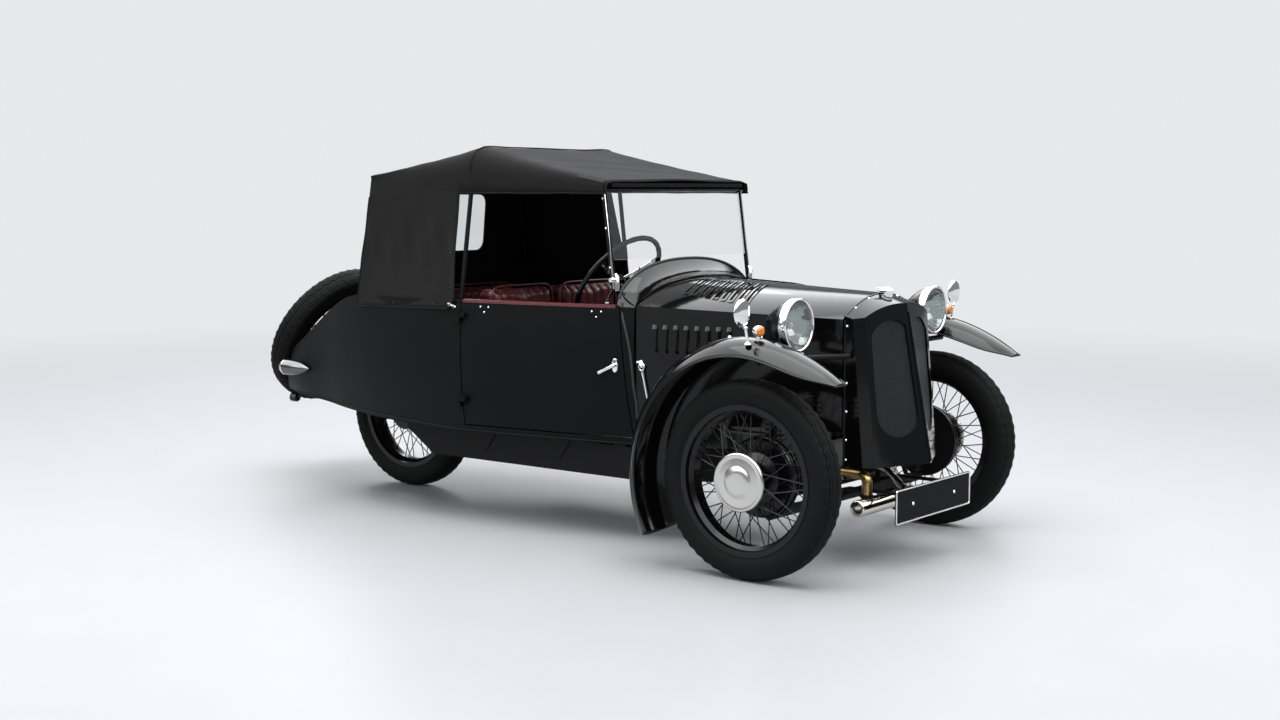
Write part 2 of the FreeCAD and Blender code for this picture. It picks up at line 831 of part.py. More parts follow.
# Body tub: a hollow cabin with door openings, a well for the rear wheel and a face for the spare

cabin_space = body_loft(inset=dim.wall, floor=dim.floor_least, lift=90).common(
    block((-700, dim.body_front_y + dim.bulkhead, dim.floor_z), (700, dim.cabin_rear_y, 1200)))
cabin_roof = block((-700, dim.body_front_y - 1, dim.body_top_z), (700, dim.cabin_rear_y, dim.body_top_z + 300))
arch_outer = rod((-dim.wheel_well_half_width - dim.arch_wall, dim.wheelbase, dim.tyre_radius),
                 (dim.wheel_well_half_width + dim.arch_wall, dim.wheelbase, dim.tyre_radius),
                 dim.tyre_radius + dim.wheel_well_gap + dim.arch_wall)
arch_inner = rod((-dim.wheel_well_half_width, dim.wheelbase, dim.tyre_radius),
                 (dim.wheel_well_half_width, dim.wheelbase, dim.tyre_radius),
                 dim.tyre_radius + dim.wheel_well_gap)
spare_point = vec(0, dim.spare_y, dim.spare_z)
spare_up = vec(0, -spare_normal.z, spare_normal.y)
spare_face = dim.tyre_width / 2 + dim.recess_gap
recess = Part.makeCylinder(dim.tyre_radius + dim.recess_gap, 600, spare_point - spare_normal * spare_face, spare_normal)
tub_hollow = cabin_space.cut(arch_outer)
steer_axis = vec(0, math.cos(math.radians(dim.steering_tilt)), math.sin(math.radians(dim.steering_tilt)))
steer_centre = vec(dim.steering_x, dim.steering_y, dim.steering_z)


def column_rod(radius):
    """The steering column's line, from under the wheel down to the bulkhead and beyond."""
    start = steer_centre - steer_axis * (20 + dim.moving_gap)
    return Part.makeCylinder(radius, dim.column_length, start, steer_axis * -1)


def hinge_parts(side, z, of_door):
    """One hinge half: a barrel on the door's axis and a short strap back to the skin."""
    axis_x = dim.body_door_half_width + dim.hinge_reach
    y = dim.door_rear_y
    length = dim.hinge_length
    low = z + length + dim.seat_gap if of_door else z
    toward = -1 if of_door else 1
    near, far = sorted((y + toward * 4, y + toward * 30))
    strap = block((axis_x - dim.hinge_reach - 18, near, low + 2), (axis_x + 4, far, low + length - 2))
    barrel = Part.makeCylinder(dim.hinge_radius, length, vec(axis_x, y, low))
    solid = barrel.fuse(strap)
    if of_door:
        solid = solid.cut(Part.makeCylinder(dim.hinge_pin_radius + dim.running_gap, length + 2, vec(axis_x, y, low - 1)))
    else:
        solid = solid.fuse(Part.makeCylinder(dim.hinge_pin_radius, 2 * length - 2, vec(axis_x, y, low)))
    return mirrored(solid) if side < 0 else solid


HINGE_HEIGHTS = (dim.hinge_low_z, dim.hinge_high_z)


def door_prism(gap, side):
    """The door's outline in side view, grown by the gap all round."""
    reach = dim.body_door_half_width + 60
    points = [(side * reach, dim.door_front_top_y - gap, 1200), (side * reach, dim.door_front_top_y - gap, dim.body_top_z),
              (side * reach, dim.door_front_bottom_y - gap, dim.door_bottom_z - gap),
              (side * reach, dim.door_rear_y + gap, dim.door_bottom_z - gap), (side * reach, dim.door_rear_y + gap, 1200)]
    return prism(points, (-side * (reach - 250), 0, 0))


def tub():
    solid = body_outer.cut(cabin_roof).cut(tub_hollow).cut(arch_inner).cut(recess)
    for side in (-1, 1):
        solid = solid.cut(door_prism(dim.moving_gap, side).common(
            block((-700, 0, dim.door_bottom_z - dim.moving_gap), (700, dim.door_rear_y + dim.moving_gap, 1200))))
    slot = block((-dim.wheel_well_half_width, dim.gearbox_front_y + 200, 0),
                 (dim.wheel_well_half_width, dim.wheelbase, dim.tyre_radius + 80))
    solid = solid.cut(slot).cut(column_rod(dim.column_radius + dim.seat_gap))
    return fused([solid] + [hinge_parts(side, z, False) for side in (-1, 1) for z in HINGE_HEIGHTS])


feature("body_tub", tub())


def door(side):
    shell = body_outer.cut(cabin_roof).cut(cabin_space)
    slab = shell.common(door_prism(0, side))
    return fused([slab] + [hinge_parts(side, z, True) for z in HINGE_HEIGHTS])


feature("door_right", door(-1))
feature("door_left", door(1))


# Scuttle: the arch between the bonnet and the windscreen

def arch_points(y, half, side_z, centre_z, inset=0.0):
    half = half - inset
    rise = centre_z - side_z
    return [(-half, y, side_z - inset), (-half * 0.84, y, side_z + rise * 0.42 - inset),
            (-half * 0.42, y, side_z + rise * 0.90 - inset), (0, y, centre_z - inset),
            (half * 0.42, y, side_z + rise * 0.90 - inset), (half * 0.84, y, side_z + rise * 0.42 - inset),
            (half, y, side_z - inset)]


def scuttle_stations():
    front = dim.body_front_y
    rear = dim.scuttle_rear_y
    edge = dim.body_front_half_width - 4
    low = dim.body_top_z + dim.bonnet_skin + dim.seat_gap
    return [(front, edge, low, dim.bonnet_rear_centre_z + 2),
            (ramp(front, rear, 0.45), edge - 4, low + 16, dim.bonnet_rear_centre_z + 18),
            (rear, dim.scuttle_side_half_width, dim.scuttle_side_z, dim.scuttle_centre_z)]


def scuttle():
    front = dim.body_front_y
    rear = dim.scuttle_rear_y
    cowl = loft([band(arch_points(*s), arch_points(*s, inset=dim.bonnet_skin)) for s in scuttle_stations()])
    skirts = []
    low = dim.body_top_z + dim.seat_gap
    for side in (-1, 1):
        foot = side * (dim.body_front_half_width - 4)
        head = side * dim.scuttle_side_half_width
        points = [(foot, front, low), (foot - side * 10, front, low), (head - side * 8, front, dim.scuttle_side_z - 4),
                  (head, front, dim.scuttle_side_z)]
        skirts.append(prism(points, (0, rear - front, 0)))
    return fused([cowl] + skirts)


feature("scuttle", scuttle())


def dashboard():
    """A flat board across the scuttle, cut to the arch's inner face."""
    rooms = []
    for station in scuttle_stations():
        line = arch_points(*station, inset=dim.bonnet_skin + 3 * dim.seat_gap)
        left, right = line[0], line[-1]
        under = (dim.dash_bottom_z - 20)
        rooms.append(ring(line, [right, (right[0], right[1], under)],
                          [(right[0], right[1], under), (left[0], left[1], under)], [(left[0], left[1], under), left]))
    board = block((-dim.dash_half_width, dim.dash_y, dim.dash_bottom_z),
                  (dim.dash_half_width, dim.dash_y + dim.dash_thickness, dim.scuttle_centre_z))
    return board.common(loft(rooms)).cut(column_rod(dim.column_radius + dim.seat_gap))


feature("dashboard", dashboard())


# Bonnet: two tops hinged on the centre line, each closing on a louvred side panel

def bonnet_point(share, y):
    """Half width, shoulder height and centre height of the bonnet at a place along it."""
    along = (y - dim.bonnet_front_y) / (dim.bonnet_rear_y - dim.bonnet_front_y)
    return (ramp(dim.bonnet_front_half_width, dim.bonnet_rear_half_width, along),
            ramp(dim.bonnet_front_shoulder_z, dim.bonnet_rear_shoulder_z, along),
            ramp(dim.bonnet_front_centre_z, dim.bonnet_rear_centre_z, along))


def bonnet_ends():
    return [(y,) + bonnet_point(0, y) for y in (dim.bonnet_front_y, dim.bonnet_rear_y)]


def bonnet_top(side):
    wires = []
    skin = dim.bonnet_skin
    start = dim.hinge_rod_radius + dim.seat_gap
    for y, half, shoulder, centre in bonnet_ends():
        rise = centre - shoulder
        outer = [(side * start, y, centre), (side * half * 0.55, y, shoulder + rise * 0.72), (side * half, y, shoulder)]
        inner = [(x, yy, z - skin) for x, yy, z in outer]
        wires.append(band(outer, inner))
    return loft(wires)


def bonnet_side(side):
    skin = dim.bonnet_skin
    low = dim.bonnet_side_bottom_z
    drop = skin + dim.seat_gap
    wires = []
    for y, half, shoulder, centre in bonnet_ends():
        corners = [(side * half, shoulder - drop), (side * half, low), (side * (half - skin), low),
                   (side * (half - skin), shoulder - drop)]
        wires.append(ring(*[[(a[0], y, a[1]), (b[0], y, b[1])] for a, b in zip(corners, corners[1:] + corners[:1])]))
    reach = dim.cross_tube_radius + dim.tube_notch_gap
    notch = block((-500, -reach, low - 1), (500, reach, dim.upper_tube_z + reach))
    return loft(wires, ruled=True).cut(notch)


def bonnet_height(x, y):
    """The height of a bonnet top's outer face, on the arc through its centre, haunch and shoulder."""
    half, shoulder, centre = bonnet_point(0, y)
    haunch = half * 0.55
    bow = (centre - (centre - shoulder) * haunch / half - (shoulder + (centre - shoulder) * 0.72)) / (haunch * (haunch - half))
    return centre - (centre - shoulder) * x / half - bow * x * (x - half)


def louvred(panel, feet, across, out):
    """A panel with one louvre pressed out of it along a row of feet, its slit facing across."""
    width = dim.louvre_width
    reach = dim.louvre_reach
    wall = dim.louvre_wall
    deep = dim.bonnet_skin + 2

    def blister(foot, rise):
        def spot(a, o):
            p = foot + across * a + out * o
            return (p.x, p.y, p.z)

        start = spot(-width, -0.5)
        return ring([start, spot(-width / 2, rise * 0.75), spot(0, rise)], [spot(0, rise), spot(0, -2)],
                    [spot(0, -2), spot(-width, -2)], [spot(-width, -2), start])

    def hollow(foot):
        corners = [(-width * 0.6, -deep), (-width * 0.6, reach * 0.4 - wall), (3, reach * 1.05 - wall),
                   (3, 0.7), (-2, 0.7), (-2, -deep)]
        return Part.makePolygon([foot + across * a + out * o for a, o in corners + corners[:1]])

    rises = [0.5] + [reach] * (len(feet) - 2) + [0.5]
    raised = loft([blister(foot, rise) for foot, rise in zip(feet, rises)], ruled=True)
    return panel.fuse(raised).cut(loft([hollow(foot) for foot in feet[1:-1]], ruled=True))


def louvred_side(side):
    """The side panel with its row of upright louvres."""
    panel = bonnet_side(side)
    run = dim.bonnet_rear_y - dim.bonnet_front_y
    spread = dim.bonnet_rear_half_width - dim.bonnet_front_half_width
    across = vec(side * spread, run, 0).normalize()
    out = vec(side * run, -spread, 0).normalize()
    half = dim.side_louvre_length / 2
    heights = (-half, -half + dim.louvre_end, half - dim.louvre_end, half)
    for index in range(int(dim.side_louvre_count)):
        y = dim.side_louvre_front_y + index * dim.side_louvre_pitch
        x = side * bonnet_point(0, y)[0]
        panel = louvred(panel, [vec(x, y, dim.side_louvre_z + height) for height in heights], across, out)
    return panel


def louvred_top(side):
    """The top with its row of long louvres, swept forward towards the shoulder."""
    panel = bonnet_top(side)
    length = dim.top_louvre_outer_x - dim.top_louvre_inner_x
    end = dim.louvre_end / length
    shares = (0, end, 0.29, 0.5, 0.71, 1 - end, 1)
    for index in range(int(dim.top_louvre_count)):
        rear = dim.top_louvre_rear_y - index * dim.top_louvre_pitch
        feet = []
        for share in shares:
            x = ramp(dim.top_louvre_inner_x, dim.top_louvre_outer_x, share)
            y = rear - dim.top_louvre_sweep * share
            feet.append(vec(side * x, y, bonnet_height(x, y)))
        along = (feet[-1] - feet[0]).normalize()
        out = along.cross(vec(0, 1, 0)) * -side
        out = out.normalize()
        across = out.cross(along).normalize()
        across = across if across.y > 0 else across * -1
        panel = louvred(panel, feet, across, out)
    return panel


for name, side in (("right", -1), ("left", 1)):
    feature(f"bonnet_top_{name}", louvred_top(side))
    feature(f"bonnet_side_{name}", louvred_side(side))

hinge_ends = [(0, y + lap, centre) for (y, half, shoulder, centre), lap in
              zip(bonnet_ends(), (dim.seat_gap - dim.moving_gap, dim.body_front_y - dim.bonnet_rear_y - dim.seat_gap))]
feature("bonnet_hinge", rod(*hinge_ends, dim.hinge_rod_radius))


# Nose: a pointed cowl round the radiator, with a tall mesh panel each side of the ridge

def nose_plan(z, inset):
    """Plan of the nose at a height: seam, corner, ridge and back again."""
    along = (dim.nose_top_z - z) / (dim.nose_top_z - dim.nose_bottom_z)
    seam = dim.bonnet_front_y - dim.moving_gap
    half = dim.bonnet_front_half_width - inset
    corner = dim.nose_corner_half_width - inset
    corner_y = ramp(dim.nose_corner_top_y, dim.nose_corner_bottom_y, along) + inset
    ridge_y = ramp(dim.nose_ridge_top_y, dim.nose_ridge_bottom_y, along) + inset * 1.2
    points = [vec(-half, seam, z), vec(-half, corner_y + dim.nose_corner_run, z), vec(-corner, corner_y, z),
              vec(0, ridge_y, z), vec(corner, corner_y, z), vec(half, corner_y + dim.nose_corner_run, z),
              vec(half, seam, z)]
    return Part.makePolygon(points + points[:1])


def nose_crown(y, inset):
    """The bonnet's section carried on over the nose, lower towards the front."""
    along = (dim.bonnet_front_y - dim.moving_gap - y) / (dim.bonnet_front_y - dim.plate_y)
    half = dim.bonnet_front_half_width + 20
    shoulder = ramp(dim.bonnet_front_shoulder_z, dim.bonnet_front_shoulder_z - dim.nose_fall * 0.9, along) - inset
    centre = ramp(dim.bonnet_front_centre_z, dim.bonnet_front_centre_z - dim.nose_fall, along) - inset
    low = dim.nose_bottom_z - 50
    return ring([(-half, y, shoulder), (0, y, centre), (half, y, shoulder)], [(half, y, shoulder), (half, y, low)],
                [(half, y, low), (-half, y, low)], [(-half, y, low), (-half, y, shoulder)])


def nose_solid(inset=0.0, extra=0.0):
    levels = (dim.nose_bottom_z - extra, dim.bonnet_front_centre_z + 40)
    plan = loft([nose_plan(z, inset) for z in levels], ruled=True)
    crown = loft([nose_crown(y, inset) for y in (dim.bonnet_front_y - dim.moving_gap + extra, dim.plate_y - 20)],
                 ruled=True)
    return plan.common(crown)


def window_prism(side, shrink=0.0):
    """A tall opening with round ends in one face of the nose, cut straight back."""
    inner = dim.window_inner_x + shrink
    outer = dim.window_outer_x - shrink
    low = dim.window_bottom_z + shrink
    high = dim.window_top_z - shrink
    radius = (outer - inner) / 2
    front = dim.plate_y - 60
    middle = (inner + outer) / 2
    wire = ring([(side * inner, front, low + radius), (side * middle, front, low), (side * outer, front, low + radius)],
                [(side * outer, front, low + radius), (side * outer, front, high - radius * 0.6)],
                [(side * outer, front, high - radius * 0.6), (side * middle, front, high),
                 (side * inner, front, high - radius * 0.25)],
                [(side * inner, front, high - radius * 0.25), (side * inner, front, low + radius)])
    return Part.Face(wire).extrude(vec(0, 240, 0))


def nose_cowl():
    solid = nose_solid().cut(nose_solid(dim.nose_skin, extra=1))
    for side in (-1, 1):
        solid = solid.cut(window_prism(side))
    return solid


feature("nose_cowl", nose_cowl())


def grille_mesh(side):
    """The mesh panel that fills one opening, flush inside the cowl's skin."""
    sheet_metal = nose_solid(1).cut(nose_solid(1 + dim.mesh_thickness, extra=1))
    return sheet_metal.common(window_prism(side, dim.seat_gap))


feature("grille", Part.makeCompound([grille_mesh(-1), grille_mesh(1)]))


def radiator():
    half = dim.radiator_half_width
    front = dim.bonnet_front_y - dim.radiator_forward
    core = block((-half, front, dim.radiator_bottom_z), (half, front + dim.radiator_depth, dim.radiator_top_z))
    lug_front = front + 8
    reach = dim.bonnet_front_half_width - dim.nose_skin - dim.seat_gap
    lugs = [block((-reach, lug_front, z), (reach, lug_front + 24, z + 40)) for z in (480, 740)]
    return fused([core] + lugs)


feature("radiator", radiator())


def radiator_cap():
    """A round filler cap whose neck follows the crown of the nose."""
    lift = 24
    cap = turned_shape([(-lift, 0), (-lift, 22), (0, 22), (2, 27), (12, 27), (18, 19), (24, 0)])
    placed = turned_to(cap, (0, 0, 1), (0, dim.radiator_cap_y, dim.bonnet_front_centre_z + 2))
    return placed.cut(nose_solid(-dim.seat_gap))


feature("radiator_cap", radiator_cap())


# Wings: a rounded crown swept round the wheel and drawn out to a tip in front

def wing_section(angle, lip, crest, half, middle):
    """A thin crescent across the wing at an angle round the wheel, 90 degrees at the top."""
    turn = math.radians(angle)

    def spot(x, radius):
        return (x, radius * math.cos(turn), dim.tyre_radius + radius * math.sin(turn))

    thick = dim.wing_thickness
    return band([spot(middle - half, lip), spot(middle, crest), spot(middle + half, lip)],
                [spot(middle - half + thick, lip), spot(middle, crest - thick), spot(middle + half - thick, lip)])


def wing_stations():
    """Round the wheel: angle, lip radius, crest radius and half width."""
    half = (dim.wing_outer_x - dim.wing_inner_x) / 2
    lip = dim.wing_lip_radius
    crest = dim.wing_crest_radius
    stations = [(dim.wing_rear_angle, lip, crest + 14, half), (0, lip, crest + 8, half), (45, lip, crest, half),
                (75, lip, crest, half), (95, lip, crest - 4, half), (dim.wing_front_angle, lip + 4, crest - 8, half)]
    tip_radius = math.hypot(dim.wing_tip_y, dim.wing_tip_z - dim.tyre_radius)
    tip_angle = math.degrees(math.atan2(dim.wing_tip_z - dim.tyre_radius, dim.wing_tip_y))
    stations.append((ramp(dim.wing_front_angle, tip_angle, 0.55), lip + 24, crest - 2, half * 0.85))
    stations.append((tip_angle, tip_radius - 4, tip_radius + 4, half * 0.35))
    return stations


def wing(side):
    middle = (dim.wing_inner_x + dim.wing_outer_x) / 2
    shape = loft([wing_section(*station, middle) for station in wing_stations()])
    return mirrored(shape) if side < 0 else shape


def wing_room(side, grow):
    """The closed space under a wing's outer surface, larger by the grow distance."""
    middle = (dim.wing_inner_x + dim.wing_outer_x) / 2
    sections = []
    for angle, lip, crest, half in wing_stations():
        turn = math.radians(angle)
        points = [(middle - half - grow, lip), (middle, crest + grow), (middle + half + grow, lip)]
        arc = [(x, radius * math.cos(turn), dim.tyre_radius + radius * math.sin(turn)) for x, radius in points]
        sections.append(ring(arc, [arc[-1], arc[0]]))
    room = loft(sections)
    return mirrored(room) if side < 0 else room


feature("wing_right", wing(-1))
feature("wing_left", wing(1))


# Windscreen: a raked flat glass in a thin frame that stands on the scuttle

def screen_y(z):
    share = (z - dim.screen_bottom_z) / (dim.screen_top_z - dim.screen_bottom_z)
    return ramp(dim.screen_bottom_y, dim.screen_top_y, share)


def screen_frame():
    half = dim.screen_half_width
    post = dim.screen_post
    pieces = []
    for side in (-1, 1):
        x = side * half
        pieces.append(square_bar(vec(x, screen_y(dim.screen_bottom_z), dim.screen_bottom_z), vec(x, screen_y(dim.screen_top_z), dim.screen_top_z), post))
    pieces.append(rod((-half - 8, dim.screen_top_y, dim.screen_top_z), (half + 8, dim.screen_top_y, dim.screen_top_z), post * 0.7))
    return fused(pieces)


feature("windscreen_frame", screen_frame())


def screen_glass():
    half = dim.screen_half_width - dim.screen_post / 2 - dim.seat_gap
    thick = dim.glass_thickness
    low = dim.scuttle_centre_z + 2
    top = dim.screen_top_z - dim.screen_post * 0.7
    return prism([(-half, screen_y(low), low), (-half, screen_y(low) + thick, low),
                  (-half, screen_y(top) + thick, top), (-half, screen_y(top), top)], (2 * half, 0, 0))


feature("windscreen_glass", screen_glass())


# Hood: fabric over three bows, closed at the back and open at the sides over the doors

def hood_section(y, low, eave_half, eave_z, corner_half, corner_z, centre_z, low_half, inset=0.0):
    points = [(-low_half + inset, y, low), (-eave_half + inset, y, eave_z), (-corner_half + inset, y, corner_z - inset),
              (0, y, centre_z - inset), (corner_half - inset, y, corner_z - inset), (eave_half - inset, y, eave_z),
              (low_half - inset, y, low)]
    return Part.makePolygon([vec(*p) for p in points + points[:1]])


def hood_stations(extra=0.0):
    low = dim.hood_bottom_z - extra
    bow = dim.hood_bow_z
    rear = dim.hood_rear_top_z
    middle_y = (dim.hood_bow_y + dim.hood_rear_top_y) / 2
    return [
        (dim.hood_front_y, low, 456, dim.hood_front_z - 22, 430, dim.hood_front_z - 4, dim.hood_front_z, 460),
        (dim.hood_bow_y, low, 462, bow - 60, 399, bow - 4, bow, 558),
        (middle_y, low, 459, (bow + rear) / 2 - 43, 418, (bow + rear) / 2 - 5, (bow + rear) / 2, 544),
        (dim.hood_rear_top_y, low, 452, rear - 26, 436, rear - 6, rear, 511),
    ]


def hood():
    """Cloth over the bows with a closed back and side curtains behind the doors."""
    thick = dim.hood_thickness
    stations = hood_stations()
    rear = stations[-1]
    outer = loft([hood_section(*s) for s in stations], ruled=True)
    outer = outer.fuse(loft([hood_section(*rear), hood_section(dim.hood_rear_bottom_y, *rear[1:-1], 500)], ruled=True))
    stations = hood_stations(5)
    front, rear = stations[0], stations[-1]
    inner = loft([hood_section(*s, inset=thick) for s in stations], ruled=True)
    inner = inner.fuse(loft([hood_section(*rear, inset=thick),
                             hood_section(dim.hood_rear_bottom_y - thick, *rear[1:-1], 500, inset=thick)], ruled=True))
    inner = inner.fuse(loft([hood_section(dim.hood_front_y - 5, *front[1:], inset=thick), hood_section(*front, inset=thick)],
                            ruled=True))
    side_opening = prism([(-700, dim.hood_front_y - 10, 700), (-700, dim.hood_front_y - 10, dim.hood_opening_top_z + 6),
                          (-700, dim.hood_side_rear_y - 20, dim.hood_opening_top_z),
                          (-700, dim.hood_side_rear_y + 10, dim.hood_corner_z),
                          (-700, dim.hood_corner_y, dim.hood_corner_z - 16), (-700, dim.hood_corner_y + 20, 700)], (1400, 0, 0))
    window = block((-350, dim.hood_rear_top_y - 10, 1040), (350, dim.hood_rear_bottom_y + 10, 1300))
    return outer.cut(inner).cut(side_opening).cut(window).cut(body_near)


feature("hood", hood())


# Seats

def cushion(label, width, depth, height, x, y, z):
    owner = body(label, x=x, y=y, z=z)
    sketch = sketch_on(owner, "XY_Plane", rectangle(f"-{width} / 2", f"{width} / 2", "0", depth), f"{label}_outline")
    padded(owner, sketch, height)


SEAT_BASE = "Size.floor_z + Size.seat_gap"
for name, side in (("right", "-"), ("left", "")):
    cushion(f"seat_cushion_{name}", "Size.seat_width", "Size.seat_depth", "Size.seat_height", f"{side}Size.seat_x",
            "Size.front_axle_y + Size.seat_front_y", SEAT_BASE)
    cushion(f"seat_back_{name}", "Size.seat_width", "Size.backrest_thickness", "Size.backrest_height", f"{side}Size.seat_x",
            "Size.front_axle_y + Size.seat_front_y + Size.seat_depth + Size.seat_gap", SEAT_BASE)
cushion("rear_seat", "Size.rear_seat_width", "Size.rear_seat_depth", "Size.seat_height", "0",
        "Size.front_axle_y + Size.rear_seat_y", SEAT_BASE)
cushion("rear_backrest", "Size.rear_back_width", "Size.rear_back_thickness", "Size.rear_back_height", "0",
        "Size.front_axle_y + Size.cabin_rear_y - Size.rear_back_thickness - Size.seat_gap", "Size.rear_back_low_z")


# Steering wheel and column

def steering_wheel():
    rim = Part.makeTorus(dim.steering_radius, dim.steering_rim_radius, steer_centre, steer_axis)
    hub = Part.makeCylinder(28, 30, steer_centre - steer_axis * 20, steer_axis)
    shaft = Part.makeCylinder(dim.column_shaft_radius, 70, steer_centre - steer_axis * 15, steer_axis * -1)
    across = steer_axis.cross(vec(1, 0, 0))
    spokes = []
    for turn in (90, 210, 330):
        angle = math.radians(turn)
        out = vec(1, 0, 0) * math.cos(angle) + across * math.sin(angle)
        spokes.append(Part.makeCylinder(6, dim.steering_radius, steer_centre, out))
    return fused([rim, hub, shaft] + spokes)


feature("steering_wheel", steering_wheel())


def column():
    """A tube with a socket at its top for the wheel's shaft."""
    socket = Part.makeCylinder(dim.column_shaft_radius + dim.running_gap, 72, steer_centre - steer_axis * 15, steer_axis * -1)
    return column_rod(dim.column_radius).cut(socket)


feature("steering_column", column())


# Number plate, left blank

plate = body("number_plate", y="Size.front_axle_y + Size.plate_y", z="Size.plate_bottom_z")
plate_outline = sketch_on(plate, "XZ_Plane", rectangle("-Size.plate_width / 2", "Size.plate_width / 2", "0", "Size.plate_height"), "plate_outline")
padded(plate, plate_outline, "Size.plate_thickness", midplane=True)


# Headlamps

def lamp_bowl(side):
    points = [(0, dim.lens_radius), (0, dim.headlamp_radius), (18, dim.headlamp_radius), (60, dim.headlamp_radius - 16),
              (dim.headlamp_depth, 18), (dim.headlamp_depth, 0), (30, 0), (12, dim.lens_radius)]
    return turned_to(turned_shape(points), (0, 1, 0), (side * dim.headlamp_x, dim.headlamp_y, dim.headlamp_z))


def lamp_lens(side):
    edge = dim.lens_radius - dim.seat_gap
    shape = turned_shape([(-7, 0), (0, edge), (11, edge), (11, 0)])
    return turned_to(shape, (0, 1, 0), (side * dim.headlamp_x, dim.headlamp_y, dim.headlamp_z))


feature("headlamp_right", lamp_bowl(-1))
feature("headlamp_left", lamp_bowl(1))
feature("headlamp_lenses", Part.makeCompound([lamp_lens(-1), lamp_lens(1)]))


# Lamp bars: from the nose out under the wing, with a stem up to the headlamp and a tab under the crown

def lamp_bar(side):
    z = dim.lamp_bar_z
    radius = dim.lamp_bar_radius
    back = dim.headlamp_y + dim.headlamp_stem_back
    near = (dim.bonnet_front_half_width + radius + dim.seat_gap, dim.bonnet_front_y - 30, z)
    bend = (dim.headlamp_x, back, z)
    far = ((dim.wing_inner_x + dim.wing_outer_x) / 2, back, z)
    stem_top = dim.headlamp_z - dim.headlamp_radius + 34
    tab = rod((far[0], far[1], z + 30), (far[0], far[1], z + 120), radius)
    tab = tab.common(wing_room(1, -dim.wing_thickness - 3 * dim.seat_gap))
    pieces = [rod(near, bend, radius), rod(bend, far, radius), Part.makeSphere(radius, vec(*bend)),
              rod(far, (far[0], far[1], z + 50), radius),
              rod(bend, (bend[0], bend[1], stem_top), radius), tab,
              Part.makeSphere(radius, vec(*far)), Part.makeSphere(radius, vec(*near))]
    bar = fused(pieces)
    return (mirrored(bar) if side < 0 else bar).cut(lamp_space(side))


def lamp_space(side):
    grown = [(0, 0), (0, dim.headlamp_radius + 0.3), (18, dim.headlamp_radius + 0.3), (60, dim.headlamp_radius - 15.7),
             (dim.headlamp_depth + 0.3, 18.3), (dim.headlamp_depth + 0.3, 0)]
    return turned_to(turned_shape(grown), (0, 1, 0), (side * dim.headlamp_x, dim.headlamp_y, dim.headlamp_z))


feature("lamp_bars", Part.makeCompound([lamp_bar(-1), lamp_bar(1)]))


def wing_stay(side):
    """The tube that carries the back of a wing from the chassis rail."""
    z = dim.rail_bottom_z + dim.rail_height / 2
    start = (dim.rail_half_width + 9 + dim.seat_gap, dim.wing_stay_y + 60, z)
    end = (dim.wing_inner_x + 70, dim.wing_crest_radius - 10, dim.tyre_radius - 60)
    stay = fused([rod(start, end, 9), Part.makeSphere(9, vec(*start))]).cut(wing_room(1, 5 * dim.seat_gap))
    return mirrored(stay) if side < 0 else stay


feature("wing_stays", Part.makeCompound([wing_stay(-1), wing_stay(1)]))


def indicator(side):
    body_shape = turned_shape([(0, 0), (0, 14), (6, dim.indicator_radius), (30, dim.indicator_radius), (44, 8), (44, 0)])
    foot = Part.makeCylinder(6, 34, vec(side * dim.indicator_x, dim.indicator_y + 20, dim.indicator_z - dim.indicator_radius - 30))
    foot = foot.cut(wing_room(side, dim.seat_gap))
    lamp = turned_to(body_shape, (0, 1, 0), (side * dim.indicator_x, dim.indicator_y, dim.indicator_z))
    return fused([lamp, foot])


def mirror(side):
    head = turned_shape([(0, 0), (0, dim.mirror_radius - 6), (6, dim.mirror_radius), (12, dim.mirror_radius), (12, 0)])
    head = turned_to(head, (0, 1, 0), (side * dim.mirror_x, dim.mirror_y, dim.mirror_z))
    foot = (side * (dim.wing_outer_x - 44), dim.mirror_y + 6, dim.tyre_radius + dim.wing_crest_radius - 30)
    stalk = rod(foot, (side * dim.mirror_x, dim.mirror_y + 6, dim.mirror_z - dim.mirror_radius + 6), 5)
    stalk = stalk.cut(wing_room(side, dim.seat_gap))
    return fused([head, stalk])


feature("indicators", Part.makeCompound([indicator(-1), indicator(1)]))
feature("mirrors", Part.makeCompound([mirror(-1), mirror(1)]))


def tube_along(points, radius):
    """Straight runs with a ball at each bend."""
    pieces = [rod(a, b, radius) for a, b in zip(points, points[1:])]
    pieces += [Part.makeSphere(radius, vec(*p)) for p in points[1:-1]]
    return fused(pieces)


def exhaust():
    """Down from the engine's side, forward under the nose, across, and back along the left."""
    x = -dim.exhaust_x
    y = -dim.exhaust_forward
    z = dim.silencer_z
    side = -dim.engine_width / 2 - dim.seat_gap
    port = dim.exhaust_port_z
    run = dim.exhaust_run_z
    back = dim.engine_front_y + 60
    down = tube_along([(side, back, port), (side - 45, back, port), (side - 45, back - 40, run), (x, y, run), (x, y, z)],
                      dim.exhaust_radius)
    box = rod((x - 70, y, z), (x + 330, y, z), dim.silencer_radius)
    tail = tube_along([(x + 300, y, z), (dim.tail_pipe_x, -60, dim.tail_pipe_z),
                       (dim.tail_pipe_x, dim.rail_rear_y, dim.tail_pipe_z)], dim.tail_pipe_radius)
    return fused([down, box, tail])


feature("exhaust", exhaust())


def plate_bracket():
    z = dim.plate_arm_z
    back = dim.plate_y + dim.plate_thickness / 2 + dim.seat_gap
    land = dim.lower_tube_z + dim.cross_tube_radius + dim.seat_gap + 7
    arms = [tube_along([(side * dim.plate_arm_x, back + 1, z), (side * dim.plate_arm_x, -110, z),
                        (side * dim.plate_arm_x, 0, land)], 7) for side in (-1, 1)]
    bar = block((-dim.plate_arm_x - 14, back, z - 12), (dim.plate_arm_x + 14, back + 4, z + 12))
    return fused(arms + [bar])


feature("plate_bracket", plate_bracket())


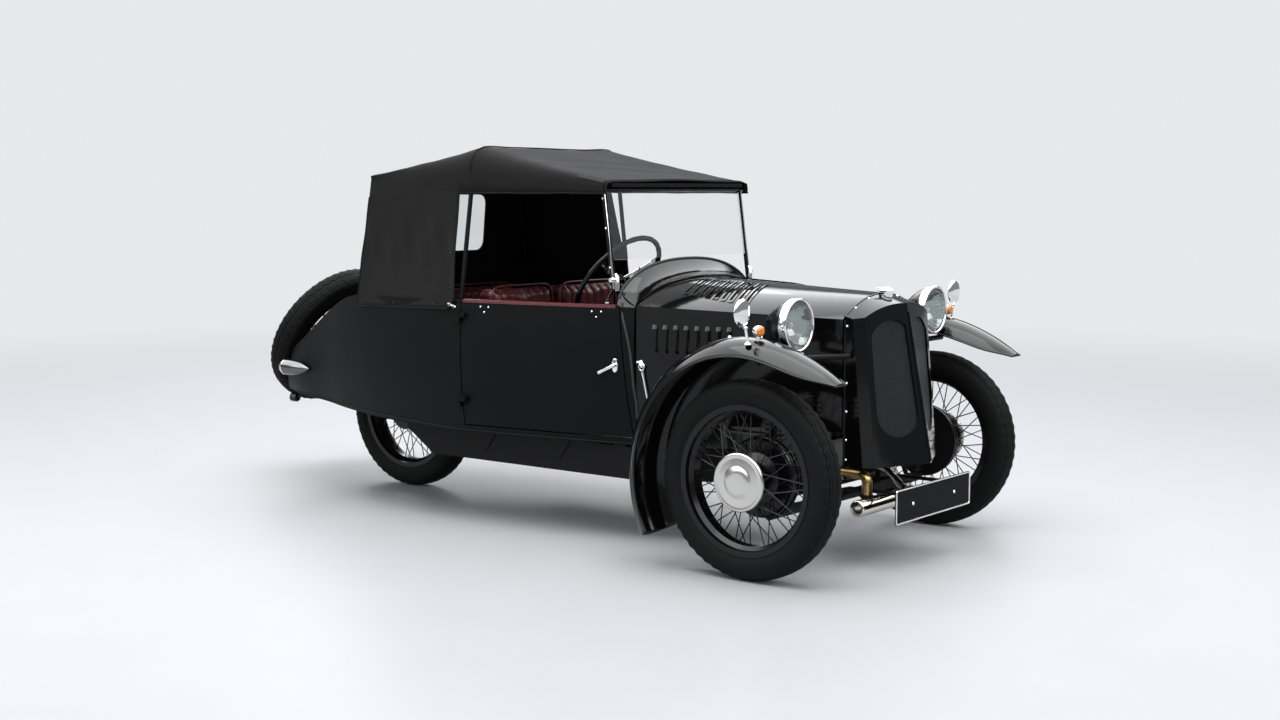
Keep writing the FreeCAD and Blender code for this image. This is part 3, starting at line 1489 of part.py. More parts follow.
def tail_lamp(side):
    """A slim torpedo lamp that points back, on a short foot from the tail's flank."""
    length = dim.tail_lamp_length
    radius = dim.tail_lamp_radius
    spot = (dim.tail_lamp_x, dim.tail_lamp_y, dim.tail_lamp_z)
    shell = turned_shape([(0, 0), (length * 0.12, radius * 0.62), (length * 0.35, radius * 0.94), (length * 0.62, radius),
                          (length * 0.9, radius * 0.9), (length, radius * 0.7), (length, 0)])
    foot = rod((spot[0] - radius - 40, spot[1] + 80, spot[2]), (spot[0] - 10, spot[1] + 80, spot[2]), 9)
    lamp = fused([turned_to(shell, (0, 1, 0), spot), foot]).cut(body_near)
    return mirrored(lamp) if side < 0 else lamp


feature("tail_lamps", Part.makeCompound([tail_lamp(-1), tail_lamp(1)]))


def hood_bows():
    """Two hoops whose feet stand on the body's top edge, and the wooden rail above the windscreen."""
    foot = dim.body_top_z - 6
    under = dim.hood_bow_z - dim.hood_thickness
    rear = dim.hood_rear_top_z - dim.hood_thickness
    front_path = [(526, foot), (446, under - 61), (389, under - 13.5)]
    rear_path = [(486, foot), (432, rear - 30), (425, rear - 15)]
    bows = []
    for y, path in ((dim.hood_bow_y, front_path), (dim.hood_rear_top_y - 15, rear_path)):
        line = [(-x, y, z) for x, z in path] + [(x, y, z) for x, z in path[::-1]]
        hoop = tube_along(line, 9)
        bows.append(hoop.cut(block((-700, y - 50, foot - 20), (700, y + 50, dim.body_top_z + dim.seat_gap))))
    header_low = dim.screen_top_z + dim.screen_post * 0.7 + dim.seat_gap
    bows.append(block((-420, dim.hood_front_y + 3, header_low),
                      (420, dim.hood_front_y + 39, dim.hood_front_z - dim.hood_thickness - 4 - dim.seat_gap)))
    return Part.makeCompound(bows)


feature("hood_bows", hood_bows())


def spare_carrier():
    """A plate on the tail's face with the stud and nut that hold the spare wheel."""
    face = spare_point - spare_normal * (spare_face - dim.seat_gap)
    top = face + spare_up * 14
    low = face - spare_up * 176
    out = spare_normal * 12
    plate_shape = prism([(-60, p.y, p.z) for p in (top, top + out, low + out, low)], (120, 0, 0))
    stud = Part.makeCylinder(dim.stub_radius, spare_face + dim.hub_outer_reach - dim.seat_gap, face, spare_normal)
    nut = Part.makeCylinder(34, 22, spare_point + spare_normal * (dim.hub_outer_reach + dim.seat_gap), spare_normal)
    link = Part.makeCylinder(dim.stub_radius - 2, 20, spare_point + spare_normal * (dim.hub_outer_reach - 10), spare_normal)
    return fused([plate_shape, stud, link, nut])


feature("spare_carrier", spare_carrier())


# Checks, then one file for each sub-part

doc.recompute()
for thing in doc.Objects:
    if "Invalid" in thing.State or "Error" in thing.State:
        raise RuntimeError(f"{thing.Label} is {thing.State}")
for thing in kept:
    if thing.Shape.isNull() or not thing.Shape.isValid():
        raise RuntimeError(f"{thing.Label} has no valid shape")

os.makedirs("parts", exist_ok=True)
for thing in kept:
    thing.Shape.exportStep(f"parts/{thing.Label}.step")
    print(thing.Label, len(thing.Shape.Solids), round(thing.Shape.Volume / 1000))
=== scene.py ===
import bpy
import bmesh
import math
from mathutils import Matrix, Vector
from mathutils.bvhtree import BVHTree


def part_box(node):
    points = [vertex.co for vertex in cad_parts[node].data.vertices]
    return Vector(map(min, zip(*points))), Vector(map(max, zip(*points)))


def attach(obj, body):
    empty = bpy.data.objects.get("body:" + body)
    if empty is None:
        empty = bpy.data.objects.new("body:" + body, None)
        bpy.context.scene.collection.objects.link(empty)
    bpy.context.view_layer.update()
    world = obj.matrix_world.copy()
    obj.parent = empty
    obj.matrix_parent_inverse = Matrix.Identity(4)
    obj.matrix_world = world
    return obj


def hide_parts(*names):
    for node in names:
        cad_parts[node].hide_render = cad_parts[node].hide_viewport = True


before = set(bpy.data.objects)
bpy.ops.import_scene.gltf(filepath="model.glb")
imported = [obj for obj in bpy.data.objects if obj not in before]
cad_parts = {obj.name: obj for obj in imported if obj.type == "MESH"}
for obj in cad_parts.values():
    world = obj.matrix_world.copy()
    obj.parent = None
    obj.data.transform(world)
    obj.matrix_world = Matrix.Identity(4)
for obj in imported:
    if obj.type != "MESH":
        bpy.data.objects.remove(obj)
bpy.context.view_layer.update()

# A three wheeled touring car with its hood up. The front faces -Y, the driver sits at -X and +Z is up.
# Lengths are in metres. Places along Y are measured from the front axle, whose own place is FRONT_AXLE.


# Camera, floor and studio light: the photograph's three quarter view over the car's right front wheel, on a
# pale floor that fades into the backdrop. One large soft lamp hangs over the car and three small ones fill in.

FRONT_AXLE = -1.305
CAMERA_SPOT = (-5.3651, -3.2418 + FRONT_AXLE, 1.3205)
YAW, PITCH = 0.9048, -0.0995
SENSOR_WIDTH, LENS = 36, 48.22
camera = bpy.data.objects.new("camera", bpy.data.cameras.new("camera"))
bpy.context.collection.objects.link(camera)
camera.location = CAMERA_SPOT
look = Vector((math.sin(YAW) * math.cos(PITCH), math.cos(YAW) * math.cos(PITCH), math.sin(PITCH)))
camera.rotation_euler = look.to_track_quat("-Z", "Y").to_euler()
camera.data.sensor_width = SENSOR_WIDTH
camera.data.lens = LENS
bpy.context.scene.camera = camera
bpy.context.scene.view_settings.view_transform = "Standard"


class Wire:
    """A socket in a material's nodes: sums on wires add Math nodes."""

    def __init__(self, tree, socket=None):
        self.tree = tree
        self.socket = socket

    def node(self, kind, settings=None, inputs=None, out=0):
        made = self.tree.nodes.new("ShaderNode" + kind)
        for name, value in (settings or {}).items():
            if name == "stops":
                ramp = made.color_ramp.elements
                while len(ramp) < len(value):
                    ramp.new(0.5)
                for stop, (place, shade) in zip(ramp, value):
                    stop.position = place
                    stop.color = (shade, shade, shade, 1)
            else:
                setattr(made, name, value)
        for name, value in (inputs or {}).items():
            if isinstance(value, Wire):
                self.tree.links.new(value.socket, made.inputs[name])
            else:
                made.inputs[name].default_value = value
        return Wire(self.tree, made.outputs[out])

    def sum(self, operation, first, second=0.0):
        return self.node("Math", {"operation": operation}, {0: first, 1: second})

    def blend(self, share, low, high):
        """The colour between low and high."""
        return self.node("Mix", {"data_type": "RGBA"}, {0: share, 6: low, 7: high}, out=2)

    def __add__(self, other):
        return self.sum("ADD", self, other)

    def __mul__(self, other):
        return self.sum("MULTIPLY", self, other)

    def __gt__(self, other):
        return self.sum("GREATER_THAN", self, other)

    __radd__ = __add__
    __rmul__ = __mul__


def rgb(colour):
    return (*colour, 1.0)


def finish(name, colour, roughness, metallic=0.0, mottle=0.25, scale=14.0, uneven=0.06, bump=0.0,
           bump_scale=300.0, **sockets):
    """A new material: mottled colour, uneven roughness and, if asked for, a fine bump."""
    material = bpy.data.materials.new(name)
    material.use_nodes = True
    tree = material.node_tree
    shader = tree.nodes["Principled BSDF"]
    wire = Wire(tree)
    where = wire.node("TexCoord", out="Object")
    cloud = wire.node("TexNoise", {}, {"Vector": where, "Scale": scale, "Detail": 5.0, "Roughness": 0.6},
                      out="Fac")
    dark = tuple(c * (1 - mottle) for c in colour)
    light = tuple(min(1.0, c * (1 + mottle)) for c in colour)
    tree.links.new(wire.blend(cloud, rgb(dark), rgb(light)).socket, shader.inputs["Base Color"])
    tree.links.new((cloud * uneven * 2 + (roughness - uneven)).socket, shader.inputs["Roughness"])
    shader.inputs["Metallic"].default_value = metallic
    for socket, value in sockets.items():
        shader.inputs[socket.replace("_", " ")].default_value = value
    if bump:
        grain = wire.node("TexNoise", {}, {"Vector": where, "Scale": bump_scale, "Detail": 3.0}, out="Fac")
        raised = wire.node("Bump", {}, {"Height": grain, "Strength": bump, "Distance": 0.001})
        tree.links.new(raised.socket, shader.inputs["Normal"])
    return material


def around(count):
    """Evenly spaced angles of a full turn."""
    return [2 * math.pi * k / count for k in range(count)]


BACKDROP = (0.80, 0.81, 0.83)
FLOOR_REACH, FLOOR_SIDES = 60.0, 64
FADE_START, FADE_END = 3.2, 11.0
floor_finish = finish("floor_grey", (0.70, 0.71, 0.73), 0.40, mottle=0.02, scale=3.0, uneven=0.04,
                      Specular_IOR_Level=0.25)
ground = bpy.data.meshes.new("floor")
ground.from_pydata([(FLOOR_REACH * math.cos(a), FLOOR_REACH * math.sin(a), 0) for a in around(FLOOR_SIDES)], [],
                   [tuple(range(FLOOR_SIDES))])
ground.materials.append(floor_finish)
floor = bpy.data.objects.new("studio_floor", ground)
bpy.context.collection.objects.link(floor)

# away from the car the floor fades into the backdrop's own colour
tree = floor_finish.node_tree
fade = Wire(tree)
place = fade.node("TexCoord", out="Object")
away = fade.node("VectorMath", {"operation": "LENGTH"}, {0: place}, out="Value")
share = fade.node("MapRange", {"interpolation_type": "SMOOTHSTEP"},
                  {"Value": away, "From Min": FADE_START, "From Max": FADE_END}, out="Result")
glow = fade.node("Emission", {}, {"Color": rgb(BACKDROP)}, out="Emission")
painted_floor = Wire(tree, tree.nodes["Principled BSDF"].outputs[0])
mixed = fade.node("MixShader", {}, {0: share, 1: painted_floor, 2: glow}, out="Shader")
tree.links.new(mixed.socket, tree.nodes["Material Output"].inputs["Surface"])

AIM = Vector((0, 0, 0.5))
LAMPS = (  # each lamp's place, its width and depth, and its power in watts
    ("key_light", (-1.2, -0.8, 5.4), (6.0, 5.0), 265),
    ("fill_light", (-6.0, 3.5, 3.4), (3.0, 3.0), 45),
    ("front_light", (1.5, -6.5, 3.6), (3.5, 2.5), 60),
    ("back_light", (4.5, 4.5, 4.2), (3.5, 2.5), 70),
)
for name, spot, size, power in LAMPS:
    lamp = bpy.data.lights.new(name, "AREA")
    lamp.shape = "RECTANGLE"
    lamp.size, lamp.size_y = size
    lamp.energy = power
    lamp_object = bpy.data.objects.new(name, lamp)
    lamp_object.location = spot
    lamp_object.visible_glossy = name != "front_light"
    lamp_object.rotation_euler = (AIM - Vector(spot)).to_track_quat("-Z", "Y").to_euler()
    bpy.context.collection.objects.link(lamp_object)

# gloss paint mirrors a dark horizon and, from CEILING_LOW upwards, a bright ceiling
CEILING_LOW, CEILING_HIGH = 0.34, 0.46
HORIZON, CEILING, DAYLIGHT = (0.24, 0.25, 0.27), (4.0, 4.05, 4.1), (0.40, 0.41, 0.43)
world = bpy.data.worlds.new("studio")
bpy.context.scene.world = world
world.use_nodes = True
sky = Wire(world.node_tree)
backdrop = world.node_tree.nodes["Background"]
shown = sky.node("LightPath", out="Is Camera Ray") + sky.node("LightPath", out="Is Transmission Ray")
height = sky.node("SeparateXYZ", {}, {0: sky.node("TexCoord", out="Generated")}, out="Z")
overhead = sky.node("MapRange", {"interpolation_type": "SMOOTHSTEP"},
                    {"Value": height, "From Min": CEILING_LOW, "From Max": CEILING_HIGH}, out="Result")
mirrored = sky.blend(overhead, rgb(HORIZON), rgb(CEILING))
lit = sky.blend(sky.node("LightPath", out="Is Glossy Ray"), rgb(DAYLIGHT), mirrored)
world.node_tree.links.new(sky.blend(shown > 0.5, lit, rgb(BACKDROP)).socket, backdrop.inputs["Color"])
backdrop.inputs["Strength"].default_value = 1.0


# Tyres: tall narrow road tyres of black rubber. Each is one turned section whose tread ribs and grooves zigzag
# round it. The front ones and the rear one are on the ground, the spare is on the tail.

AXLE_HEIGHT, HALF_TRACK, WHEELBASE = 0.343, 0.635, 2.261
SPARE_Y, SPARE_Z, SPARE_LEAN = 2.76, 0.648, math.radians(31)
WHEEL_TURNS = {  # each wheel's centre, the direction that its outer face looks in, and its body
    "front_right": (Vector((-HALF_TRACK, FRONT_AXLE, AXLE_HEIGHT)), Vector((-1, 0, 0)),
                    "wheel_assembly_front_right"),
    "front_left": (Vector((HALF_TRACK, FRONT_AXLE, AXLE_HEIGHT)), Vector((1, 0, 0)),
                   "wheel_assembly_front_left"),
    "rear": (Vector((0, FRONT_AXLE + WHEELBASE, AXLE_HEIGHT)), Vector((-1, 0, 0)), "wheel_assembly_rear"),
    "spare": (Vector((0, FRONT_AXLE + SPARE_Y, SPARE_Z)),
              Vector((0, math.cos(SPARE_LEAN), math.sin(SPARE_LEAN))), "car"),
}


def thickened(thing, thickness, outward):
    """Gives a sheet its thickness, inwards from the modelled face."""
    skin = thing.modifiers.new("thickness", "SOLIDIFY")
    skin.thickness = thickness
    skin.offset = -1 if outward else 1


def shaped(name, points, faces, material, body, slot, stands_for=(), bevel=0.0, angle=38, solidify=0.0):
    """A mesh piece with its finish, riding on a body."""
    mesh = bpy.data.meshes.new(name)
    mesh.from_pydata([tuple(p) for p in points], [], faces)
    shaping = bmesh.new()
    shaping.from_mesh(mesh)
    bmesh.ops.remove_doubles(shaping, verts=shaping.verts, dist=0.00002)
    bmesh.ops.recalc_face_normals(shaping, faces=shaping.faces)
    shaping.to_mesh(mesh)
    shaping.free()
    mesh.materials.append(material)
    thing = bpy.data.objects.new(name, mesh)
    bpy.context.collection.objects.link(thing)
    if solidify:
        thickened(thing, solidify, outward=True)
    if bevel:
        edge = thing.modifiers.new("edges", "BEVEL")
        edge.width = bevel
        edge.segments = 2
        edge.limit_method = "ANGLE"
        edge.angle_limit = math.radians(35)
    for polygon in mesh.polygons:
        polygon.use_smooth = True
    mesh.set_sharp_from_angle(angle=math.radians(angle))
    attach(thing, body)
    if stands_for:
        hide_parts(*stands_for)
    return thing


def facing(axis, at):
    """Turns X into the axis and moves the origin to a place."""
    return Matrix.Translation(at) @ Vector(axis).to_track_quat("X", "Z").to_matrix().to_4x4()


def turned(profile, steps, move, closed=False):
    """Points and faces of (along, radius) pairs turned about X, then moved."""
    points, faces = [], []
    count = len(profile)
    for k in range(steps):
        a = 2 * math.pi * k / steps
        points += [move @ Vector((x, r * math.cos(a), r * math.sin(a))) for x, r in profile]
    for k in range(steps):
        here, there = k * count, (k + 1) % steps * count
        for j in range(count if closed else count - 1):
            n = (j + 1) % count
            faces.append((here + j, there + j, there + n, here + n))
    return points, faces


rubber = finish("tyre_rubber", (0.0058, 0.0060, 0.0062), 0.66, mottle=0.35, scale=22, uneven=0.1, bump=0.35,
                bump_scale=420, Specular_IOR_Level=0.10)
HALF_TYRE = [(0.043, 0.2425), (0.0435, 0.2600), (0.0500, 0.2700), (0.0543, 0.2850), (0.0550, 0.3010),
             (0.0535, 0.3160), (0.0490, 0.3270), (0.0430, 0.3330), (0.0375, 0.3360), (0.0372, 0.3330),
             (0.0345, 0.3330), (0.0342, 0.3385), (0.0265, 0.3405), (0.0262, 0.3360), (0.0235, 0.3360),
             (0.0232, 0.3415), (0.0150, 0.3425), (0.0147, 0.3375), (0.0120, 0.3375), (0.0117, 0.3428),
             (0.0035, 0.3430), (0.0032, 0.3382), (0.0, 0.3382)]
TYRE_SECTION = [(-x, r) for x, r in HALF_TYRE] + [(x, r) for x, r in HALF_TYRE[-2::-1]]
TREAD_STEPS, ZIGZAG, TREAD_EDGE = 216, 0.0036, 0.3325
for corner, (centre, outward, body) in WHEEL_TURNS.items():
    points, faces = turned(TYRE_SECTION, TREAD_STEPS, facing(outward, centre))
    for k in range(TREAD_STEPS):
        zigzag = outward * ZIGZAG * (0, 1, 0, -1)[k % 4]
        for j, (_, radius) in enumerate(TYRE_SECTION):
            if radius > TREAD_EDGE:
                points[k * len(TYRE_SECTION) + j] += zigzag
    shaped(f"road_tyre_{corner}", points, faces, rubber, body, "tyre_rubber", [f"tyre_{corner}"], angle=32)


# Wire wheels: a black enamelled well based rim and hub with forty eight round steel spokes, crossed in two
# rows. The front wheels have a black brake drum behind the spokes.

enamel = finish("black_enamel", (0.004, 0.004, 0.005), 0.22, mottle=0.2, uneven=0.05, Specular_IOR_Level=0.24,
                Coat_Weight=0.05)
RIM = [(-0.047, 0.2595), (-0.0435, 0.2605), (-0.0415, 0.2585), (-0.0425, 0.2445), (-0.036, 0.2425),
       (-0.030, 0.2420), (-0.019, 0.2290), (0.019, 0.2290), (0.030, 0.2420), (0.036, 0.2425), (0.0425, 0.2445),
       (0.0415, 0.2585), (0.0435, 0.2605), (0.047, 0.2595), (0.0465, 0.2400), (0.030, 0.2380), (0.018, 0.2250),
       (-0.018, 0.2250), (-0.030, 0.2380), (-0.0465, 0.2400)]
HUB = [(0.042, 0.0165), (0.042, 0.088), (0.036, 0.088), (0.024, 0.060), (-0.042, 0.060), (-0.052, 0.066),
       (-0.054, 0.088), (-0.060, 0.088), (-0.060, 0.0165)]
DRUM = [(0.042, 0.0165), (0.042, 0.060), (0.045, 0.130), (0.052, 0.138), (0.058, 0.1385), (0.059, 0.136),
        (0.066, 0.136), (0.067, 0.1385), (0.076, 0.138), (0.076, 0.130), (0.056, 0.126), (0.051, 0.0165)]
SPOKES, SPOKE_RADIUS, SPOKE_SIDES = 48, 0.0021, 8
HUB_HOLES, RIM_HOLES = 0.083, 0.229
OUTER_ROW, INNER_ROW = (-0.057, -0.010), (0.039, 0.010)
SPOKE_LEAN, SPOKE_SPREAD = 24, 4


def skinned(rows, count, ring=True):
    """Faces that join rows of points: each row is a ring, or else open at its ends."""
    return [(k * count + j, k * count + (j + 1) % count, (k + 1) * count + (j + 1) % count, (k + 1) * count + j)
            for k in range(rows - 1) for j in range(count if ring else count - 1)]


def spoke(start, end):
    """Points and faces of a thin round bar."""
    turn = (end - start).to_track_quat("Z", "Y").to_matrix()
    points = [p + turn @ Vector((SPOKE_RADIUS * math.cos(a), SPOKE_RADIUS * math.sin(a), 0))
              for p in (start, end) for a in around(SPOKE_SIDES)]
    return points, skinned(2, SPOKE_SIDES)


def joined(groups):
    """Several (points, faces) groups as one."""
    points, faces = [], []
    for some, more in groups:
        faces += [tuple(index + len(points) for index in face) for face in more]
        points += list(some)
    return points, faces


for corner, (centre, outward, body) in WHEEL_TURNS.items():
    # the wheel's outer face is at -X in its own axes
    move = facing(-outward, centre)
    groups = [turned(RIM, 120, move, closed=True), turned(HUB, 64, move, closed=True)]
    for index in range(SPOKES):
        outer_row, pair = index % 2 == 0, index // 2
        at_hub, at_rim = OUTER_ROW if outer_row else INNER_ROW
        way = 1 if pair % 2 else -1
        start = math.radians(360 * (pair // 2 + (0 if outer_row else 0.5)) / (SPOKES // 4) + SPOKE_SPREAD * way)
        end = start + math.radians(SPOKE_LEAN * way)
        groups.append(spoke(move @ Vector((at_hub, HUB_HOLES * math.cos(start), HUB_HOLES * math.sin(start))),
                            move @ Vector((at_rim, RIM_HOLES * math.cos(end), RIM_HOLES * math.sin(end)))))
    shaped(f"wire_wheel_{corner}", *joined(groups), enamel, body, "black_enamel", [f"wheel_{corner}"], angle=30)
    if corner.startswith("front"):
        shaped(f"brake_drum_{corner}", *turned(DRUM, 72, move, closed=True), enamel, body, "black_enamel",
               angle=30)


# Hub caps: spun and polished alloy discs with a rolled edge and a stepped face. One is pressed over the hub of
# each front wheel.

alloy = finish("polished_alloy", (0.58, 0.57, 0.55), 0.24, metallic=1.0, mottle=0.08, uneven=0.06, scale=40)
HUB_DISC = [(-0.0605, 0.0), (-0.0605, 0.082), (-0.064, 0.094), (-0.068, 0.1005), (-0.0725, 0.1008),
            (-0.0765, 0.097), (-0.0770, 0.092), (-0.0745, 0.086), (-0.0752, 0.080), (-0.0785, 0.060),
            (-0.0790, 0.052), (-0.0812, 0.050), (-0.0824, 0.030), (-0.083, 0.0)]
for corner in ("front_right", "front_left"):
    centre, outward, body = WHEEL_TURNS[corner]
    shaped(f"hub_disc_{corner}", *turned(HUB_DISC, 96, facing(-outward, centre)), alloy, body, "polished_alloy",
           [f"hub_cap_{corner}"], angle=50)


# Frame, engine and driveline: pressed steel side members, round cross members, coil springs, torque tube,
# gearbox and rear fork. All are painted chassis black, apart from the castings' bare metal.

chassis_black = finish("chassis_black", (0.0055, 0.0055, 0.0060), 0.46, mottle=0.35, uneven=0.1, bump=0.3,
                       bump_scale=180, Specular_IOR_Level=0.12)
cast_metal = finish("cast_metal", (0.20, 0.20, 0.195), 0.5, metallic=0.85, mottle=0.3, uneven=0.1, bump=0.6,
                    bump_scale=170)


def painted(material, *nodes):
    """Gives CAD nodes that stay in view their finish."""
    for node in nodes:
        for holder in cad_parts[node].material_slots:
            holder.material = material


painted(chassis_black, "chassis", "front_cross_frame", "knuckle_right", "knuckle_left", "track_rod",
        "rear_fork", "radiator", "wing_stays", "lamp_bars", "plate_bracket", "spare_carrier", "hood_bows")
painted(cast_metal, "engine", "transmission")

KINGPIN_X = 0.5
SPRING_RUNS = ((0.4184, 0.5506, 7), (0.2244, 0.2676, 3))
WIRE_RADIUS, COIL_RADIUS, COIL_STEPS = 0.0034, 0.0274, 20


def tube(path, radius, sides=10, ends=True):
    """Points and faces of a round bar along a path; the radius may be a list."""
    path = [Vector(p) for p in path]
    radii = radius if isinstance(radius, (list, tuple)) else [radius] * len(path)
    lines = [(path[min(k + 1, len(path) - 1)] - path[max(k - 1, 0)]).normalized() for k in range(len(path))]
    side = lines[0].orthogonal().normalized()
    points = []
    for k, p in enumerate(path):
        if k:
            side = lines[k - 1].rotation_difference(lines[k]) @ side
            side = (side - lines[k] * side.dot(lines[k])).normalized()
        other = lines[k].cross(side)
        points += [p + radii[k] * (side * math.cos(a) + other * math.sin(a)) for a in around(sides)]
    faces = skinned(len(path), sides)
    if ends:
        faces += [tuple(range(sides))[::-1], tuple(range(len(points) - sides, len(points)))]
    return points, faces


coils = []
for side in (-1, 1):
    for low, high, count in SPRING_RUNS:
        steps = count * COIL_STEPS
        rise = high - low - 2 * WIRE_RADIUS
        coils.append(tube([(side * KINGPIN_X + COIL_RADIUS * math.cos(2 * math.pi * k / COIL_STEPS),
                            FRONT_AXLE + COIL_RADIUS * math.sin(2 * math.pi * k / COIL_STEPS),
                            low + WIRE_RADIUS + rise * k / steps) for k in range(steps + 1)], WIRE_RADIUS, 8))
shaped("coil_springs", *joined(coils), chassis_black, "car", "chassis_black", ["front_springs"], angle=60)


# Body tub and doors: a flat sided shell painted satin black, with a rolled bead along its bottom edge and a
# maroon trim roll along each door's top. Each door hinges at its rear edge and has a lever handle and studs.

satin_black = finish("satin_black", (0.0036, 0.0040, 0.0041), 0.48, mottle=0.12, scale=6, uneven=0.05,
                     bump=0.16, bump_scale=900, Specular_IOR_Level=0.09)
painted(satin_black, "body_tub", "door_right", "door_left")
chrome = finish("chrome", (0.82, 0.83, 0.84), 0.07, metallic=1.0, mottle=0.04, uneven=0.03, scale=30)
leather = finish("maroon_leather", (0.105, 0.019, 0.022), 0.42, mottle=0.28, scale=26, uneven=0.1, bump=0.4,
                 bump_scale=380)
SIDES = (("right", -1), ("left", 1))
skins = {}


def struck(node, start, direction):
    """Where a line first meets a CAD node, with the normal turned towards its start."""
    if node not in skins:
        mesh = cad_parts[node].data
        skins[node] = BVHTree.FromPolygons([v.co[:] for v in mesh.vertices],
                                           [tuple(p.vertices) for p in mesh.polygons])
    for nudge in (0.0, 0.0011, -0.0017, 0.0031):
        spot, normal, _, _ = skins[node].ray_cast(start + Vector((0, nudge, 0)), direction)
        if spot:
            return spot, normal if normal.dot(direction) < 0 else -normal
    return None


def on_side(nodes, side, y, z):
    """The outermost point of some CAD nodes at a place along the axle's frame, and its normal."""
    found = [struck(node, Vector((side * 1.2, FRONT_AXLE + y, z)), Vector((-side, 0, 0))) for node in nodes]
    return max((f for f in found if f), key=lambda f: side * f[0].x, default=None)


def on_top(node, x, y):
    """The highest point of a CAD node at a place, and its normal."""
    return struck(node, Vector((x, FRONT_AXLE + y, 1.6)), Vector((0, 0, -1)))


def dome(spot, normal, radius, rise):
    """A round headed rivet or stud that stands on a surface."""
    profile = [(-0.002, radius), (0.0, radius), (rise * 0.55, radius * 0.85), (rise * 0.9, radius * 0.5),
               (rise, 0.0)]
    return turned(profile, 14, facing(normal, spot))


BEAD_RUN, BEAD_HEIGHT, BEAD_STEPS = (0.662, 2.70), 0.377, 60
TRIM_RUN, DOOR_TOP, TRIM_STEPS = (0.735, 1.422), 0.866, 24
TRIM_SECTION = [(-0.011, 0.0), (-0.010, 0.004), (-0.004, 0.006), (0.004, 0.006), (0.0102, 0.004),
                (0.0112, -0.001), (0.0112, -0.007), (0.0095, -0.007), (0.0095, -0.0015)]
STUD_GROUPS, STUD_TRIANGLE = (0.8125, 1.3135), ((-0.0190, 0.8665), (0.0190, 0.8665), (0.0, 0.8465))
HANDLE_PLACE, HANDLE_STANDOFF, HOOD_CATCH_PLACE = (0.733, 0.670), 0.019, (1.474, 0.866)
HANDLE_RUN = ((-0.016, 0.002), (-0.012, 0.0062), (0, 0.0075), (0.04, 0.0062), (0.072, 0.0070), (0.076, 0.003))
for name, side in SIDES:
    edge = []
    for step in range(BEAD_STEPS + 1):
        y = BEAD_RUN[0] + (BEAD_RUN[1] - BEAD_RUN[0]) * step / BEAD_STEPS
        found = on_side(["body_tub"], side, y, BEAD_HEIGHT + 0.039 * max(0.0, y - 1.5) / 1.2)
        if found:
            edge.append(found[0] + Vector((side * 0.0005, 0, 0)))
    shaped(f"bottom_bead_{name}", *tube(edge, 0.0042, 8), satin_black, "car", "body_gloss", angle=60)

    door = f"door_{name}"
    points = []
    for step in range(TRIM_STEPS + 1):
        y = TRIM_RUN[0] + (TRIM_RUN[1] - TRIM_RUN[0]) * step / TRIM_STEPS
        spot = on_side([door], side, y, DOOR_TOP)[0]
        top = on_top(door, spot.x - side * 0.009, y)[0]
        roll = Vector((spot.x - side * 0.010, spot.y, top.z + 0.0022))
        points += [roll + Vector((side * a, 0, b)) for a, b in TRIM_SECTION]
    n = len(TRIM_SECTION)
    faces = skinned(TRIM_STEPS + 1, n) + [tuple(range(n)), tuple(range(len(points) - n, len(points)))]
    shaped(f"door_trim_{name}", points, faces, leather, door, "maroon_leather", angle=50)

    studs = [dome(*on_side([door], side, y + back, z), 0.0042, 0.004)
             for y in STUD_GROUPS for back, z in STUD_TRIANGLE]
    shaped(f"door_studs_{name}", *joined(studs), chrome, door, "chrome", angle=50)

    spot, normal = on_side([door], side, *HANDLE_PLACE)
    lever_line = (Vector((0, 0.066, -0.030))).normalized()
    disc, disc_faces = turned([(-0.002, 0.021), (0.002, 0.021), (0.0035, 0.018), (0.0035, 0.0)], 28,
                              Matrix.Identity(4))
    tall = facing(normal, spot)
    escutcheon = ([tall @ Vector((p.x, p.y * 0.62, p.z * 1.25)) for p in disc], disc_faces)
    post = spot + normal * HANDLE_STANDOFF
    handle = tube([post + lever_line * reach for reach, _ in HANDLE_RUN], [radius for _, radius in HANDLE_RUN],
                  12)
    stem = tube([spot, spot + normal * 0.006, post], [0.008, 0.0055, 0.0055], 12)
    shaped(f"door_handle_{name}", *joined([escutcheon, handle, stem]), chrome, door, "chrome", bevel=0.0005,
           angle=45)

    spot, normal = on_side(["body_tub"], side, *HOOD_CATCH_PLACE)
    bar = spot + normal * 0.009
    fitting = [tube([spot + Vector((0, dy, dz)), spot + normal * 0.014 + Vector((0, dy, dz))], 0.0062, 16)
               for dy, dz in ((-0.013, -0.003), (0.010, 0.003))]
    fitting.append(tube([bar + Vector((0, -0.022, -0.006)), bar + Vector((0, 0.020, 0.006))], 0.004, 10))
    shaped(f"hood_catch_{name}", *joined(fitting), chrome, "car", "chrome", bevel=0.0006, angle=45)


# Scuttle, dashboard and instruments: a gloss black arch over a varnished wooden board. The board has three
# dials with chrome bezels and plain tick marks, and a row of pull knobs.

gloss_black = finish("gloss_black", (0.0035, 0.0036, 0.0040), 0.09, mottle=0.15, scale=5, uneven=0.03,
                     bump=0.03, bump_scale=120, Specular_IOR_Level=0.26, Coat_Weight=0.05, Coat_Roughness=0.03)
painted(gloss_black, "scuttle", "bonnet_hinge", "nose_cowl", "bonnet_side_right", "bonnet_side_left",
        "bonnet_top_right", "bonnet_top_left")
wood = finish("dash_wood", (0.16, 0.062, 0.022), 0.3, mottle=0.5, scale=9, uneven=0.08, Coat_Weight=0.5,
              Coat_Roughness=0.1)
painted(wood, "dashboard")
dial_black = finish("dial_black", (0.012, 0.012, 0.012), 0.5, mottle=0.1)
dial_white = finish("dial_white", (0.78, 0.76, 0.68), 0.5, mottle=0.05)
clear_glass = finish("clear_glass", (0.97, 0.98, 0.98), 0.006, mottle=0.01, uneven=0.003,
                     Transmission_Weight=1.0, IOR=1.45)
